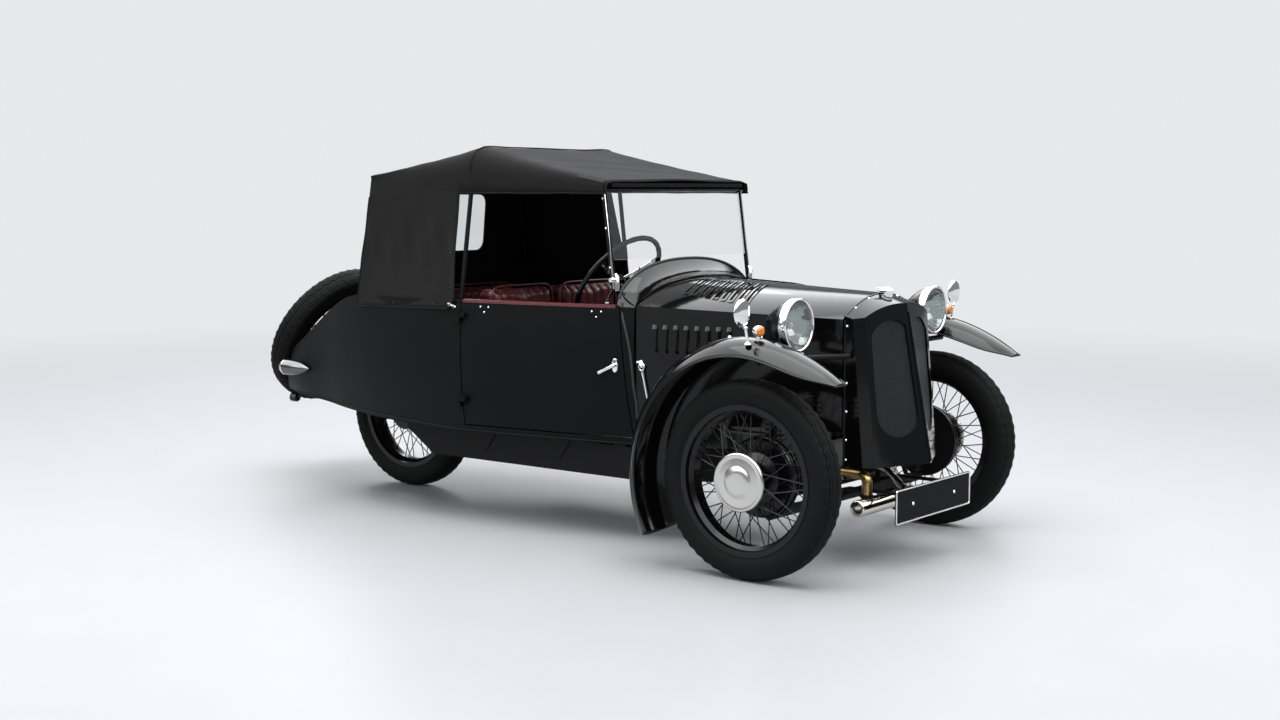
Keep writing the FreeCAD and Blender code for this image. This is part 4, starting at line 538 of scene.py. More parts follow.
DASH_FACE, KNOB_HEIGHT = FRONT_AXLE + 0.718, 0.846
DIALS = ((0.0, 0.885, 0.052), (-0.13, 0.865, 0.036), (0.13, 0.865, 0.036))
TICKS, FIRST_TICK, TICK_STEP = 31, -135, 9
bezels, faces_of_dials, ticks, panes = [], [], [], []
for x, z, radius in DIALS:
    move = facing((0, 1, 0), (x, DASH_FACE, z))
    bezels.append(turned([(0.0, radius), (0.009, radius), (0.011, radius - 0.003), (0.009, radius - 0.006),
                          (0.003, radius - 0.007)], 48, move))
    faces_of_dials.append(turned([(0.0, radius - 0.004), (0.003, radius - 0.005), (0.003, 0.0)], 40, move))
    panes.append(turned([(0.0065, radius - 0.0065), (0.0075, 0.0)], 40, move))
    for k in range(TICKS):
        a = math.radians(FIRST_TICK + TICK_STEP * k)
        long_tick = k % 5 == 0
        here, there = (move @ Vector((0.0034, math.sin(a) * r, math.cos(a) * r))
                       for r in (radius * (0.66 if long_tick else 0.74), radius * 0.84))
        ticks.append(tube([here, there], 0.0011 if long_tick else 0.0006, 4))
    hand = [move @ Vector((0.0045, 0, 0)), move @ Vector((0.0045, radius * 0.35, radius * 0.55))]
    ticks.append(tube(hand, [0.0018, 0.0006], 6))
shaped("dial_bezels", *joined(bezels), chrome, "car", "chrome", angle=40)
shaped("dial_faces", *joined(faces_of_dials), dial_black, "car", "plate_black", angle=40)
shaped("dial_marks", *joined(ticks), dial_white, "car", "chrome", angle=40)
shaped("dial_panes", *joined(panes), clear_glass, "car", "clear_glass", angle=60, solidify=0.001)
KNOB = [(0.0, 0.007), (0.003, 0.007), (0.004, 0.0035), (0.016, 0.0035), (0.018, 0.008), (0.024, 0.0085),
        (0.027, 0.006), (0.028, 0.0)]
knobs = [turned(KNOB, 20, facing((0, 1, 0), (x, DASH_FACE, KNOB_HEIGHT)))
         for x in (-0.30, -0.265, 0.21, 0.25, 0.29)]
shaped("dash_knobs", *joined(knobs), enamel, "car", "black_enamel", angle=40)


# Nose: a pointed gloss black cowl. Each face has a tall panel of pierced steel with staggered holes, and beads
# cover the ridge and the joint with the bonnet. The radiator and its polished filler cap are behind it.

MESH_INSET = 0.0062
steel_mesh = finish("mesh_steel", (0.026, 0.027, 0.029), 0.34, metallic=0.8, mottle=0.45, scale=30, uneven=0.1)
NOSE_TOP, NOSE_FOOT, NOSE_HALF_WIDTH = 0.945, 0.352, 0.221
RIDGE_TOP_Y, RIDGE_FOOT_Y, CORNER_TOP_Y, CORNER_FOOT_Y = -0.226, -0.338, -0.186, -0.238


def nose_face(side, across, z):
    """A point on a face of the nose: across is 0 at the ridge and 1 at the corner."""
    drop = (NOSE_TOP - z) / (NOSE_TOP - NOSE_FOOT)
    ridge = Vector((0, FRONT_AXLE + RIDGE_TOP_Y + (RIDGE_FOOT_Y - RIDGE_TOP_Y) * drop, z))
    corner_y = FRONT_AXLE + CORNER_TOP_Y + (CORNER_FOOT_Y - CORNER_TOP_Y) * drop
    return ridge.lerp(Vector((side * NOSE_HALF_WIDTH, corner_y, z)), across)


HOLE_ROWS, HOLE_COLUMNS, MESH_LOW, MESH_HIGH = 62, 22, 0.446, 0.868
MESH_FIRST, MESH_SHARE, HOLE_WIDTH, HOLE_HEIGHT = 0.075, 0.80, 0.36, 0.37
step, rise = MESH_SHARE / HOLE_COLUMNS, (MESH_HIGH - MESH_LOW) / HOLE_ROWS
panels = []
for side in (-1, 1):
    inward = Vector((-side * 0.36, 0.93, 0.0)).normalized()
    points, faces = [], []
    for row in range(HOLE_ROWS):
        for column in range(HOLE_COLUMNS):
            shift = 0.5 if row % 2 else 0.0
            low_a, high_a = MESH_FIRST + step * (column + shift), MESH_FIRST + step * (column + 1 + shift)
            low_z, high_z = MESH_LOW + rise * row, MESH_LOW + rise * (row + 1)
            middle_a, middle_z = (low_a + high_a) / 2, (low_z + high_z) / 2
            start = len(points)
            square = [(low_a, low_z), (middle_a, low_z), (high_a, low_z), (high_a, middle_z), (high_a, high_z),
                      (middle_a, high_z), (low_a, high_z), (low_a, middle_z)]
            points += [nose_face(side, a, z) + inward * MESH_INSET for a, z in square]
            for a, z in square:
                away = Vector((a - middle_a, z - middle_z))
                turn = math.atan2(away.y / rise, away.x / step)
                points.append(nose_face(side, middle_a + HOLE_WIDTH * step * math.cos(turn),
                                        middle_z + HOLE_HEIGHT * rise * math.sin(turn)) + inward * MESH_INSET)
            faces += [(start + j, start + (j + 1) % 8, start + 8 + (j + 1) % 8, start + 8 + j)
                      for j in range(8)]
    panels.append((points, faces))
shaped("pierced_panels", *joined(panels), steel_mesh, "car", "mesh_steel", ["grille"], angle=60,
       solidify=0.0012)

RIVET_LINE, JOINT_LINE, JOINT_LOW, JOINT_HIGH, JOINT_HALF_WIDTH = -0.136, -0.128, 0.36, 0.856, 0.236
places = [on_side(["nose_cowl"], side, RIVET_LINE, z) for side in (-1, 1)
          for z in (0.845, 0.745, 0.645, 0.545, 0.445, 0.375)]
places += [on_top("nose_cowl", x, RIVET_LINE) for x in (-0.19, -0.10, 0.10, 0.19)]
rivets = [dome(*place, 0.0046, 0.0036) for place in places if place]
shaped("nose_rivets", *joined(rivets), chrome, "car", "chrome", angle=50)
outline = [on_side(["nose_cowl"], -1, JOINT_LINE, JOINT_LOW + (JOINT_HIGH - JOINT_LOW) * k / 8)[0]
           for k in range(9)]
outline += [on_top("nose_cowl", JOINT_HALF_WIDTH * (k / 8 - 1), JOINT_LINE)[0] for k in range(17)]
outline += [on_side(["nose_cowl"], 1, JOINT_LINE, JOINT_HIGH + (JOINT_LOW - JOINT_HIGH) * k / 8)[0]
            for k in range(9)]
shaped("nose_joint_bead", *tube(outline, 0.0034, 8), gloss_black, "car", "body_gloss", angle=60)
ridge_line = [nose_face(1, 0, z) + Vector((0, -0.0006, 0)) for z in (0.36, 0.5, 0.65, 0.80, 0.885)]
shaped("nose_ridge_bead", *tube(ridge_line, 0.0045, 10), gloss_black, "car", "body_gloss", angle=60)

CAP_FOOT = Vector((0, FRONT_AXLE - 0.150, 0.949))
CAP = [(-0.014, 0.020), (0.004, 0.0205), (0.005, 0.0255), (0.011, 0.0265), (0.014, 0.0245), (0.018, 0.0185),
       (0.0235, 0.009), (0.0245, 0.0)]
cap_parts = [turned(CAP, 40, facing((0, 0, 1), CAP_FOOT))]
for side in (-1, 1):
    for lift, reach in ((0.0, 0.052), (0.006, 0.044)):
        path = [CAP_FOOT + Vector((side * x, 0.003 + back, 0.009 + lift + up)) for x, back, up in
                ((0.018, 0.0, 0.0), (reach * 0.6, 0.004, 0.002), (reach, 0.014, 0.006))]
        cap_parts.append(tube(path, [0.0045, 0.0038, 0.0012], 8))
shaped("filler_cap", *joined(cap_parts), chrome, "car", "chrome", ["radiator_cap"], angle=40)
FINS, FIRST_FIN, FIN_PITCH, FIN_Y = 61, -0.198, 0.0066, FRONT_AXLE - 0.1605
core_fins = [tube([(x, FIN_Y, 0.40), (x, FIN_Y, 0.855)], 0.0016, 4)
             for x in (FIRST_FIN + FIN_PITCH * k for k in range(FINS))]
shaped("radiator_fins", *joined(core_fins), chassis_black, "car", "chassis_black", angle=60)


# Front wings: rolled steel cycle wings, crowned across, drawn out to a tip in front, and painted gloss black.
# Each edge is wired, which leaves a small round bead along it.

def between(p, q, r, s, t):
    """A value from q to r on a smooth line through all four."""
    return 0.5 * (2 * q + (r - p) * t + (2 * p - 5 * q + 4 * r - s) * t * t + (3 * q - p - 3 * r + s) * t ** 3)


def eased(stations, count):
    """Smooth in-between rows of a table, through every row."""
    rows = []
    last = len(stations) - 1
    for step in range(count + 1):
        place = last * step / count
        k = min(int(place), last - 1)
        near = (stations[max(0, min(last, k + j))] for j in (-1, 0, 1, 2))
        rows.append([between(*values, place - k) for values in zip(*near)])
    return rows


# along a wing: the angle round the axle, the radii of its lip and of its crest, and its half width
TIP_Y, TIP_Z = -0.352, 0.690
tip_reach = math.hypot(TIP_Y, TIP_Z - AXLE_HEIGHT)
tip_turn = math.degrees(math.atan2(TIP_Z - AXLE_HEIGHT, TIP_Y))
WING_STATIONS = [(-29, 0.425, 0.501, 0.1), (0, 0.425, 0.495, 0.1), (45, 0.425, 0.487, 0.1),
                 (75, 0.425, 0.487, 0.1), (95, 0.425, 0.483, 0.1), (112, 0.429, 0.479, 0.1),
                 (112 + 0.55 * (tip_turn - 112), 0.449, 0.485, 0.085),
                 (tip_turn, tip_reach - 0.004, tip_reach + 0.004, 0.035)]
WING_ROWS, WING_COLUMNS, WING_THICKNESS, BOLT_REACH = 84, 20, 0.0026, 0.4865
for name, side in SIDES:
    points, beads = [], [[], []]
    rows = eased(WING_STATIONS, WING_ROWS)
    for turn, lip, crest, half in rows:
        sag = crest - lip
        radius = (half * half + sag * sag) / (2 * sag)
        spread = math.asin(min(1.0, half / radius))
        if sag > radius:
            spread = math.pi - spread
        for j in range(WING_COLUMNS + 1):
            a = spread * (2 * j / WING_COLUMNS - 1)
            r = crest - radius * (1 - math.cos(a))
            points.append(Vector((side * (HALF_TRACK + radius * math.sin(a)),
                                  FRONT_AXLE + r * math.cos(math.radians(turn)),
                                  AXLE_HEIGHT + r * math.sin(math.radians(turn)))))
        beads[0].append(points[-WING_COLUMNS - 1])
        beads[1].append(points[-1])
    shell = shaped(f"front_wing_{name}", points, skinned(len(rows), WING_COLUMNS + 1, ring=False), gloss_black,
                   "car", "body_gloss", [f"wing_{name}"], angle=70)
    middle = shell.data.polygons[len(shell.data.polygons) // 2]
    from_axle = middle.center - Vector((middle.center.x, FRONT_AXLE, AXLE_HEIGHT))
    thickened(shell, WING_THICKNESS, outward=from_axle.dot(middle.normal) > 0)
    edge = beads[0] + [beads[0][-1].lerp(beads[1][-1], t) for t in (0.25, 0.5, 0.75)] + beads[1][::-1]
    shaped(f"wing_bead_{name}", *tube(edge, 0.0036, 8), gloss_black, "car", "body_gloss", angle=60)
    hub = Vector((side * HALF_TRACK, FRONT_AXLE, AXLE_HEIGHT))
    bolts = []
    for y in (-0.038, 0.090):
        top = Vector((side * HALF_TRACK, FRONT_AXLE + y, AXLE_HEIGHT + math.sqrt(BOLT_REACH ** 2 - y ** 2)))
        bolts.append(dome(top, (top - hub).normalized(), 0.007, 0.005))
    shaped(f"wing_bolts_{name}", *joined(bolts), chrome, "car", "chrome", angle=50)


# Windscreen: flat glass in a black frame with a plated bead up its posts and along its head, plated studs, a
# rubber seal along its foot, and a small plated bracket at each corner that clamps it to the scuttle.

painted(enamel, "windscreen_frame")
painted(clear_glass, "windscreen_glass")
SCREEN_FOOT_Z, SCREEN_HEAD_Z, SCREEN_FOOT_Y, SCREEN_RAKE = 0.949, 1.318, 0.752, 0.05


def screen_y(z):
    return FRONT_AXLE + SCREEN_FOOT_Y + SCREEN_RAKE * (z - SCREEN_FOOT_Z) / (SCREEN_HEAD_Z - SCREEN_FOOT_Z)


corners = []
for side in (-1, 1):
    foot = Vector((side * 0.437, screen_y(0.955), 0.955))
    bracket = foot + Vector((-side * 0.004, -0.012, 0))
    corners.append(tube([bracket + Vector((0, 0, -0.010)), bracket + Vector((0, 0, 0.040)),
                         bracket + Vector((0, 0.008, 0.052))], [0.009, 0.008, 0.004], 12))
    corners.append(tube([foot + Vector((side * 0.005, 0, 0.03)), foot + Vector((side * 0.021, 0, 0.03))],
                        [0.010, 0.0085], 14))
    head = Vector((side * 0.445, FRONT_AXLE + 0.802, SCREEN_HEAD_Z))
    corners.append(tube([head + Vector((side * out, 0, 0)) for out in (0, 0.006, 0.010)],
                        [0.0125, 0.0115, 0.006], 16))
shaped("screen_clamps", *joined(corners), chrome, "car", "chrome", angle=45)
seal = finish("seal_rubber", (0.012, 0.012, 0.012), 0.7, mottle=0.3, bump=0.2)
found = [on_top("scuttle", -0.425 + 0.85 * k / 32, 0.738) for k in range(33)]
foot_line = [place[0] + Vector((0, 0.002, 0.004)) for place in found if place]
shaped("screen_foot_seal", *tube(foot_line, 0.0055, 8), seal, "car", "tyre_rubber", angle=60)
trim_line = [Vector((side * 0.4405, screen_y(z) - 0.0035, z)) for side, z in
             ((-1, 0.952), (-1, 1.3225), (1, 1.3225), (1, 0.952))]
shaped("screen_trim", *tube(trim_line, 0.0040, 8), chrome, "car", "chrome", angle=45)
studs = [dome(Vector((side * 0.4435, screen_y(z) + 0.004, z)), (side, 0.1, 0), 0.0042, 0.003)
         for side in (-1, 1) for z in (1.285, 1.175, 1.030)]
shaped("screen_studs", *joined(studs), chrome, "car", "chrome", angle=50)


# Hood: one black canvas sheet stretched from the screen's header over the bow and down the back, with side
# curtains behind the doors. Its edges are piped and studded, and its seams run over the bow and the corners.

canvas = finish("hood_fabric", (0.0048, 0.0048, 0.0051), 0.90, mottle=0.22, scale=7, uneven=0.06,
                Sheen_Weight=0.03, Sheen_Roughness=0.5, Specular_IOR_Level=0.18)
weave = Wire(canvas.node_tree)
where = weave.node("TexCoord", out="Object")
threads = None
for direction in ("X", "Y", "Z"):
    wave = weave.node("TexWave", {"bands_direction": direction, "wave_type": "BANDS"},
                      {"Vector": where, "Scale": 190.0, "Distortion": 0.4}, out="Fac")
    threads = wave if threads is None else threads + wave
cloudy = weave.node("TexNoise", {}, {"Vector": where, "Scale": 9.0, "Detail": 4.0}, out="Fac")
raised = weave.node("Bump", {}, {"Height": threads * 0.33 + cloudy * 1.6, "Strength": 0.35, "Distance": 0.0012})
canvas.node_tree.links.new(raised.socket, canvas.node_tree.nodes["Principled BSDF"].inputs["Normal"])

# each row: the place along Y, half width and height of the edge over the door, of the eave and of the
# corner, and the centre's height
HEADER_Y, BOW_Y, REAR_BOW_Y, BACK_Y = 0.772, 1.452, 1.741, 2.030
HOOD_ROWS = [
    (HEADER_Y, 0.4585, 1.3040, 0.4560, 1.3300, 0.4300, 1.3480, 1.3520),
    (BOW_Y, 0.4720, 1.3040, 0.4620, 1.4260, 0.3990, 1.4820, 1.4860),
    (REAR_BOW_Y, 0.4690, 1.3040, 0.4590, 1.3920, 0.4180, 1.4300, 1.4350),
    (BACK_Y, 0.4620, 1.3040, 0.4520, 1.3580, 0.4360, 1.3780, 1.3840),
]
ACROSS_STOPS = [0.0, 0.44, 0.78, 0.88, 0.95, 1.0]
FRONT_COUNT, REAR_COUNT, ACROSS = 32, 26, 44
SIDE_OPENING_END, ROOF_SAG = 1.508, 0.010


def hood_row(y):
    """The hood's rows mixed at a place along it: straight between the bows, as stretched cloth is."""
    for first, second in zip(HOOD_ROWS, HOOD_ROWS[1:]):
        if y <= second[0] + 1e-6:
            t = (y - first[0]) / (second[0] - first[0])
            return [a + (b - a) * t for a, b in zip(first, second)]
    return list(HOOD_ROWS[-1])


def ripple(x, y, z):
    """Slack in the cloth: shallow folds, deepest near the corners."""
    broad = 0.0016 * math.sin(19 * y + 7 * x + 2.0) * math.sin(11 * z + 3 * y)
    return broad + 0.0010 * math.sin(43 * y - 23 * z + 9 * x)


def roof_point(u, y):
    """A point across the roof: u runs from -1 at the right edge to 1 at the left."""
    _, edge_x, edge_z, eave_x, eave_z, corner_x, corner_z, centre = hood_row(y)
    knots = [(0.0, centre), (corner_x * 0.55, centre - (centre - corner_z) * 0.45), (corner_x, corner_z),
             (eave_x, eave_z), (eave_x * 0.4 + edge_x * 0.6, eave_z * 0.4 + edge_z * 0.6), (edge_x, edge_z)]
    s = abs(u)
    k = max(j for j in range(5) if s >= ACROSS_STOPS[j] - 1e-9)
    f = (s - ACROSS_STOPS[k]) / (ACROSS_STOPS[k + 1] - ACROSS_STOPS[k])
    before = knots[k - 1] if k else (-knots[1][0], knots[1][1])
    x, z = (between(*values, f) for values in zip(before, knots[k], knots[k + 1], knots[min(5, k + 2)]))
    begin, end = (HEADER_Y, BOW_Y) if y <= BOW_Y + 1e-6 else (BOW_Y, BACK_Y)
    share = min(1, max(0, (y - begin) / (end - begin)))
    sag = ROOF_SAG * math.sin(math.pi * share) * (1 - s ** 3)
    x = math.copysign(x, u) if u else 0.0
    return Vector((x, FRONT_AXLE + y, z - sag + ripple(x, y, z) * (1 - s * 0.5)))


columns = [HEADER_Y + (SIDE_OPENING_END - HEADER_Y) * k / FRONT_COUNT for k in range(FRONT_COUNT + 1)]
columns += [SIDE_OPENING_END + (BACK_Y - SIDE_OPENING_END) * k / REAR_COUNT for k in range(1, REAR_COUNT + 1)]
across = [2 * j / ACROSS - 1 for j in range(ACROSS + 1)]
n = ACROSS + 1
points = [roof_point(u, y) for y in columns for u in across]
faces = skinned(len(columns), n, ring=False)

CURTAIN_ROWS = 26


def curtain_low(t):
    """A side curtain's lower edge from its front corner, 0, to its back corner, 1: Y, half width and height."""
    y = 1.462 + (2.078 - 1.462) * t
    corner = min(1.0, t / 0.085)
    z = 0.853 + 0.050 * (1 - math.sqrt(1 - (1 - corner) ** 2)) - 0.014 * t
    return y, 0.5575 - 0.058 * t ** 1.5, z


back_edges, curtain_first = {}, {}
for side in (-1, 1):
    start = curtain_first[side] = len(points)
    j = 0 if side < 0 else ACROSS
    for k in range(REAR_COUNT + 1):
        high = points[(FRONT_COUNT + k) * n + j]
        t = (k / REAR_COUNT) ** 1.4
        y, x, z = curtain_low(t)
        low = Vector((side * x, FRONT_AXLE + y, z))
        for row in range(1, CURTAIN_ROWS + 1):
            f = row / CURTAIN_ROWS
            p = high.lerp(low, f) + Vector((0, 0.005 * math.sin(math.pi * f) * (1 - t), 0))
            p.x -= side * 0.006 * math.sin(math.pi * f) * math.sin(math.pi * min(1.0, t * 1.1))
            p.x += side * ripple(p.x, p.y * 1.5, p.z) * 1.6 * math.sin(math.pi * min(1.0, f * 1.15))
            points.append(p)
    for k in range(REAR_COUNT):
        upper = [(FRONT_COUNT + k) * n + j, (FRONT_COUNT + k + 1) * n + j]
        for row in range(CURTAIN_ROWS):
            here, there = start + k * CURTAIN_ROWS + row, start + (k + 1) * CURTAIN_ROWS + row
            faces.append((upper[0], here, there, upper[1]) if row == 0 else (here - 1, here, there, there - 1))
    back_edges[side] = [start + REAR_COUNT * CURTAIN_ROWS + row for row in range(CURTAIN_ROWS)]

# the back: rings between its outline and the rear window's rounded opening
outline = back_edges[-1][::-1] + [(len(columns) - 1) * n + j for j in range(ACROSS + 1)] + back_edges[1]
low_left, low_right = points[outline[0]], points[outline[-1]]
for step in range(1, 20):
    outline.append(len(points))
    points.append(low_right.lerp(low_left, step / 20))
WINDOW_HALF_WIDTH, WINDOW_LOW, WINDOW_HIGH, WINDOW_CORNER = 0.240, 1.048, 1.298, 0.045
WINDOW_MIDDLE = (WINDOW_LOW + WINDOW_HIGH) / 2


def window_point(angle):
    """A point on the rear window's edge, in the direction of an angle from its middle."""
    half_w, half_h, radius = WINDOW_HALF_WIDTH, (WINDOW_HIGH - WINDOW_LOW) / 2, WINDOW_CORNER
    dx, dz = math.cos(angle), math.sin(angle)
    reach = min(half_w / abs(dx) if dx else 9, half_h / abs(dz) if dz else 9)
    x, z = dx * reach, dz * reach
    if abs(x) > half_w - radius and abs(z) > half_h - radius:
        cx, cz = math.copysign(half_w - radius, x), math.copysign(half_h - radius, z)
        turn = math.atan2(z - cz, x - cx)
        x, z = cx + radius * math.cos(turn), cz + radius * math.sin(turn)
    return x, WINDOW_MIDDLE + z


def back_y(z):
    """The back's place at a height: it leans out a little towards its foot."""
    return FRONT_AXLE + BACK_Y + 0.048 * min(1.0, max(0.0, (1.33 - z) / (1.33 - 0.84)))


BACK_RINGS, CANVAS_THICKNESS = 9, 0.0022
previous = outline
count = len(outline)
for ring in range(1, BACK_RINGS + 1):
    f = ring / BACK_RINGS
    current = list(range(len(points), len(points) + count))
    for index in outline:
        p = points[index]
        x, z = window_point(math.atan2(p.z - WINDOW_MIDDLE, p.x))
        q = Vector((p.x + (x - p.x) * f, 0, p.z + (z - p.z) * f))
        puff = 0.0035 * math.sin(math.pi * f)
        q.y = (p.y + (back_y(q.z) - p.y) * min(1.0, f * 3) - 0.0006
               + ripple(q.x * 2, 0.3, q.z * 1.6) * (1 - f) * 1.2
               - puff * 0.5)
        points.append(q)
    faces += [(previous[j], current[j], current[(j + 1) % count], previous[(j + 1) % count])
              for j in range(count)]
    previous = current
window_ring = [points[index].copy() for index in previous]
hood = shaped("hood_canvas", points, faces, canvas, "car", "hood_fabric", ["hood"], angle=48)
roof_face = hood.data.polygons[FRONT_COUNT // 2 * ACROSS + ACROSS // 2]
thickened(hood, CANVAS_THICKNESS, outward=roof_face.normal.z > 0)

piping, studs = [], []
for side in (-1, 1):
    start = curtain_first[side]
    edge = [points[k * n + (0 if side < 0 else ACROSS)] for k in range(FRONT_COUNT + 1)]
    front = [points[start + row] for row in range(CURTAIN_ROWS)]
    foot = [points[start + k * CURTAIN_ROWS + CURTAIN_ROWS - 1] for k in range(REAR_COUNT + 1)]
    piping.append(tube(edge + front + foot[1:], 0.0028, 6))
    piping.append(tube([points[index] for index in back_edges[side]], 0.0032, 6))
    for k in range(3, REAR_COUNT + 1, 5):
        p = points[start + k * CURTAIN_ROWS + CURTAIN_ROWS - 2]
        studs.append(dome(p + Vector((side * 0.0006, 0, 0)), (side, 0, 0.05), 0.0042, 0.0028))
    for row in (5, 13, 21):
        p = points[start + 2 * CURTAIN_ROWS + row]
        studs.append(dome(p + Vector((side * 0.0006, 0, 0)), (side, 0, 0.1), 0.0042, 0.003))
piping.append(tube([p + Vector((0, -0.0005, 0)) for p in window_ring] + [window_ring[0]], 0.0030, 6,
                   ends=False))
for y in (0.790, BOW_Y):
    piping.append(tube([roof_point(u * 0.985, y) + Vector((0, 0, 0.0004)) for u in across[1:-1]], 0.0026, 6))
shaped("hood_piping", *joined(piping), canvas, "car", "hood_fabric", angle=60)
window_sheet = finish("window_sheet", (0.86, 0.88, 0.88), 0.06, mottle=0.03, scale=5, Transmission_Weight=0.94,
                      IOR=1.02)
pane_points = [p + Vector((0, -0.0035, 0)) for p in window_ring]
pane_points.append(sum(pane_points, Vector()) / count)
shaped("rear_window_pane", pane_points, [(k, (k + 1) % count, count) for k in range(count)], window_sheet,
       "car", "clear_glass", angle=60, solidify=0.0008)
shaped("hood_studs", *joined(studs), enamel, "car", "black_enamel", angle=50)


# Seats: two front bucket cushions and backs, and a rear bench with its squab, in pleated maroon leather. Each
# is a foam pad swelled in a cloth simulation, then sewn with channels along it, and piped round its face.

SEAT_VOXEL, SEAT_CAP, CAGE_INSET, BOX_MARGIN = 0.0095, 0.020, 0.009, 0.0006
PRESSURE, CLOTH_FRAMES = 4.0, 20
PLEAT, SEAM_DEPTH, SEAM_WIDTH, SEAM_REACH, PUCKER = 0.052, 0.0085, 0.0055, 0.055, 0.004
BORDER, SEAM_FADE = 0.030, 0.02
# channels run along Y on a cushion and along Z on a back; the face is the side that is sat on
PADS = {
    "seat_cushion_right": ("z", 1), "seat_cushion_left": ("z", 1), "rear_seat": ("z", 1),
    "seat_back_right": ("y", -1), "seat_back_left": ("y", -1), "rear_backrest": ("y", -1),
}


def settled(pad):
    """Replaces a pad's modifiers by the mesh that they make."""
    bpy.context.view_layer.update()
    made = bpy.data.meshes.new_from_object(pad.evaluated_get(bpy.context.evaluated_depsgraph_get()))
    pad.modifiers.clear()
    pad.data = made


def swelled(name, low, high):
    """A rounded pad between two corners, puffed up by cloth pressure and kept inside them."""
    size, inset = high - low, Vector((CAGE_INSET,) * 3)
    cage = bmesh.new()
    bmesh.ops.create_cube(cage, size=1.0)
    for vertex in cage.verts:
        vertex.co = Vector([c * (length - 2 * trim) for c, length, trim in zip(vertex.co, size, inset)])
    bmesh.ops.bevel(cage, geom=cage.edges[:], offset=min(size) * 0.16, segments=3, affect="EDGES")
    mesh = bpy.data.meshes.new(name)
    cage.to_mesh(mesh)
    cage.free()
    pad = bpy.data.objects.new(name, mesh)
    bpy.context.collection.objects.link(pad)
    pad.location = (low + high) / 2
    voxels = pad.modifiers.new("voxels", "REMESH")
    voxels.mode = "VOXEL"
    voxels.voxel_size = SEAT_VOXEL
    settled(pad)
    start = [vertex.co.copy() for vertex in pad.data.vertices]
    cloth = pad.modifiers.new("cloth", "CLOTH")
    cloth.settings.use_pressure = True
    cloth.settings.uniform_pressure_force = PRESSURE
    cloth.settings.effector_weights.gravity = 0.0
    cloth.settings.quality = 4
    cloth.point_cache.frame_start, cloth.point_cache.frame_end = 1, CLOTH_FRAMES
    for step in range(1, CLOTH_FRAMES + 1):
        bpy.context.scene.frame_set(step)
    settled(pad)
    bpy.context.scene.frame_set(1)
    half = size / 2
    for vertex, before in zip(pad.data.vertices, start):
        move = vertex.co - before
        if move.length > SEAT_CAP:
            move = move.normalized() * SEAT_CAP
        vertex.co = Vector([max(-h + BOX_MARGIN, min(h - BOX_MARGIN, c)) for c, h in zip(before + move, half)])
    return pad


for node, (face_axis, sign) in PADS.items():
    low, high = (Vector(corner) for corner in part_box(node))
    pad = swelled(f"{node}_leather", low, high)
    middle, half = (low + high) / 2, (high - low) / 2
    finer = pad.modifiers.new("finer", "SUBSURF")
    finer.levels = finer.render_levels = 1
    settled(pad)
    sewn_width = 2 * (half.x - BORDER)
    pitch = sewn_width / max(4, round(sewn_width / PLEAT))
    cushion = face_axis == "z"
    out = Vector((0, 0, 1)) if cushion else Vector((0, sign, 0))
    for vertex in pad.data.vertices:
        p = vertex.co
        depth_in = half.z - p.z if cushion else half.y - p.y * sign
        on_face = max(0.0, 1 - depth_in / SEAM_REACH)
        along = p.x + half.x - BORDER
        if on_face > 0 and -0.008 < along < sewn_width + 0.008:
            away = along - round(along / pitch) * pitch
            from_end = half.y - BORDER - p.y if cushion else p.z + half.z - BORDER
            ends = min(1.0, max(0.0, from_end / SEAM_FADE))
            dip = SEAM_DEPTH * math.exp(-(away / SEAM_WIDTH) ** 2)
            pucker = PUCKER * math.cos(math.pi * along / pitch) ** 2
            vertex.co = p - out * (dip + pucker) * ends * min(1.0, on_face * 1.6)
    for vertex in pad.data.vertices:
        vertex.co = vertex.co + middle
    pad.location = (0, 0, 0)
    pad.data.materials.clear()
    pad.data.materials.append(leather)
    for polygon in pad.data.polygons:
        polygon.use_smooth = True
    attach(pad, "car")
    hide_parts(node)
    # the piping follows the seam between the face and the border
    loop = []
    for a in around(64):
        cx, cy = (math.copysign(abs(c) ** 0.22, c) for c in (math.cos(a), math.sin(a)))
        if cushion:
            loop.append(middle + Vector(((half.x - 0.013) * cx, (half.y - 0.013) * cy, half.z - 0.017)))
        else:
            loop.append(middle + Vector(((half.x - 0.013) * cx, sign * (half.y - 0.017),
                                         (half.z - 0.013) * cy)))
    shaped(f"{node}_piping", *tube(loop + loop[:1], 0.0042, 8, ends=False), leather, "car", "maroon_leather",
           angle=60)


# Steering wheel and column: a thin black rim on three sprung wire spokes, a hub with a plated nut, and the
# hand lever beside it. The column is a black tube down to the bulkhead. A ball topped gear lever is beside it.

TILT = math.radians(35.3)
WHEEL_AXIS = Vector((0, math.cos(TILT), math.sin(TILT)))
WHEEL_CENTRE = Vector((-0.208, FRONT_AXLE + 0.918, 0.966))
RIM_REACH, RIM_STEPS = 0.205, 96
painted(enamel, "steering_column")
wheel_turn = facing(WHEEL_AXIS, WHEEL_CENTRE)
turns = [2 * math.pi * k / RIM_STEPS for k in range(RIM_STEPS + 1)]
rim = [wheel_turn @ Vector((0, RIM_REACH * math.cos(a), RIM_REACH * math.sin(a))) for a in turns]
finger_grips = [0.0100 + 0.0006 * math.cos(math.pi * k / 2) for k in range(RIM_STEPS + 1)]
boss = [(-0.020, 0.0), (-0.020, 0.020), (-0.012, 0.027), (0.000, 0.028), (0.006, 0.026), (0.010, 0.020),
        (0.010, 0.0)]
collar = [(-0.085, 0.0), (-0.085, 0.0088), (-0.018, 0.0088), (-0.018, 0.0)]
parts = [tube(rim, finger_grips, 12, ends=False), turned(boss, 36, wheel_turn), turned(collar, 20, wheel_turn)]
shaped("steering_rim", *joined(parts), enamel, "steering_wheel", "black_enamel", ["steering_wheel"], angle=40)
spokes = []
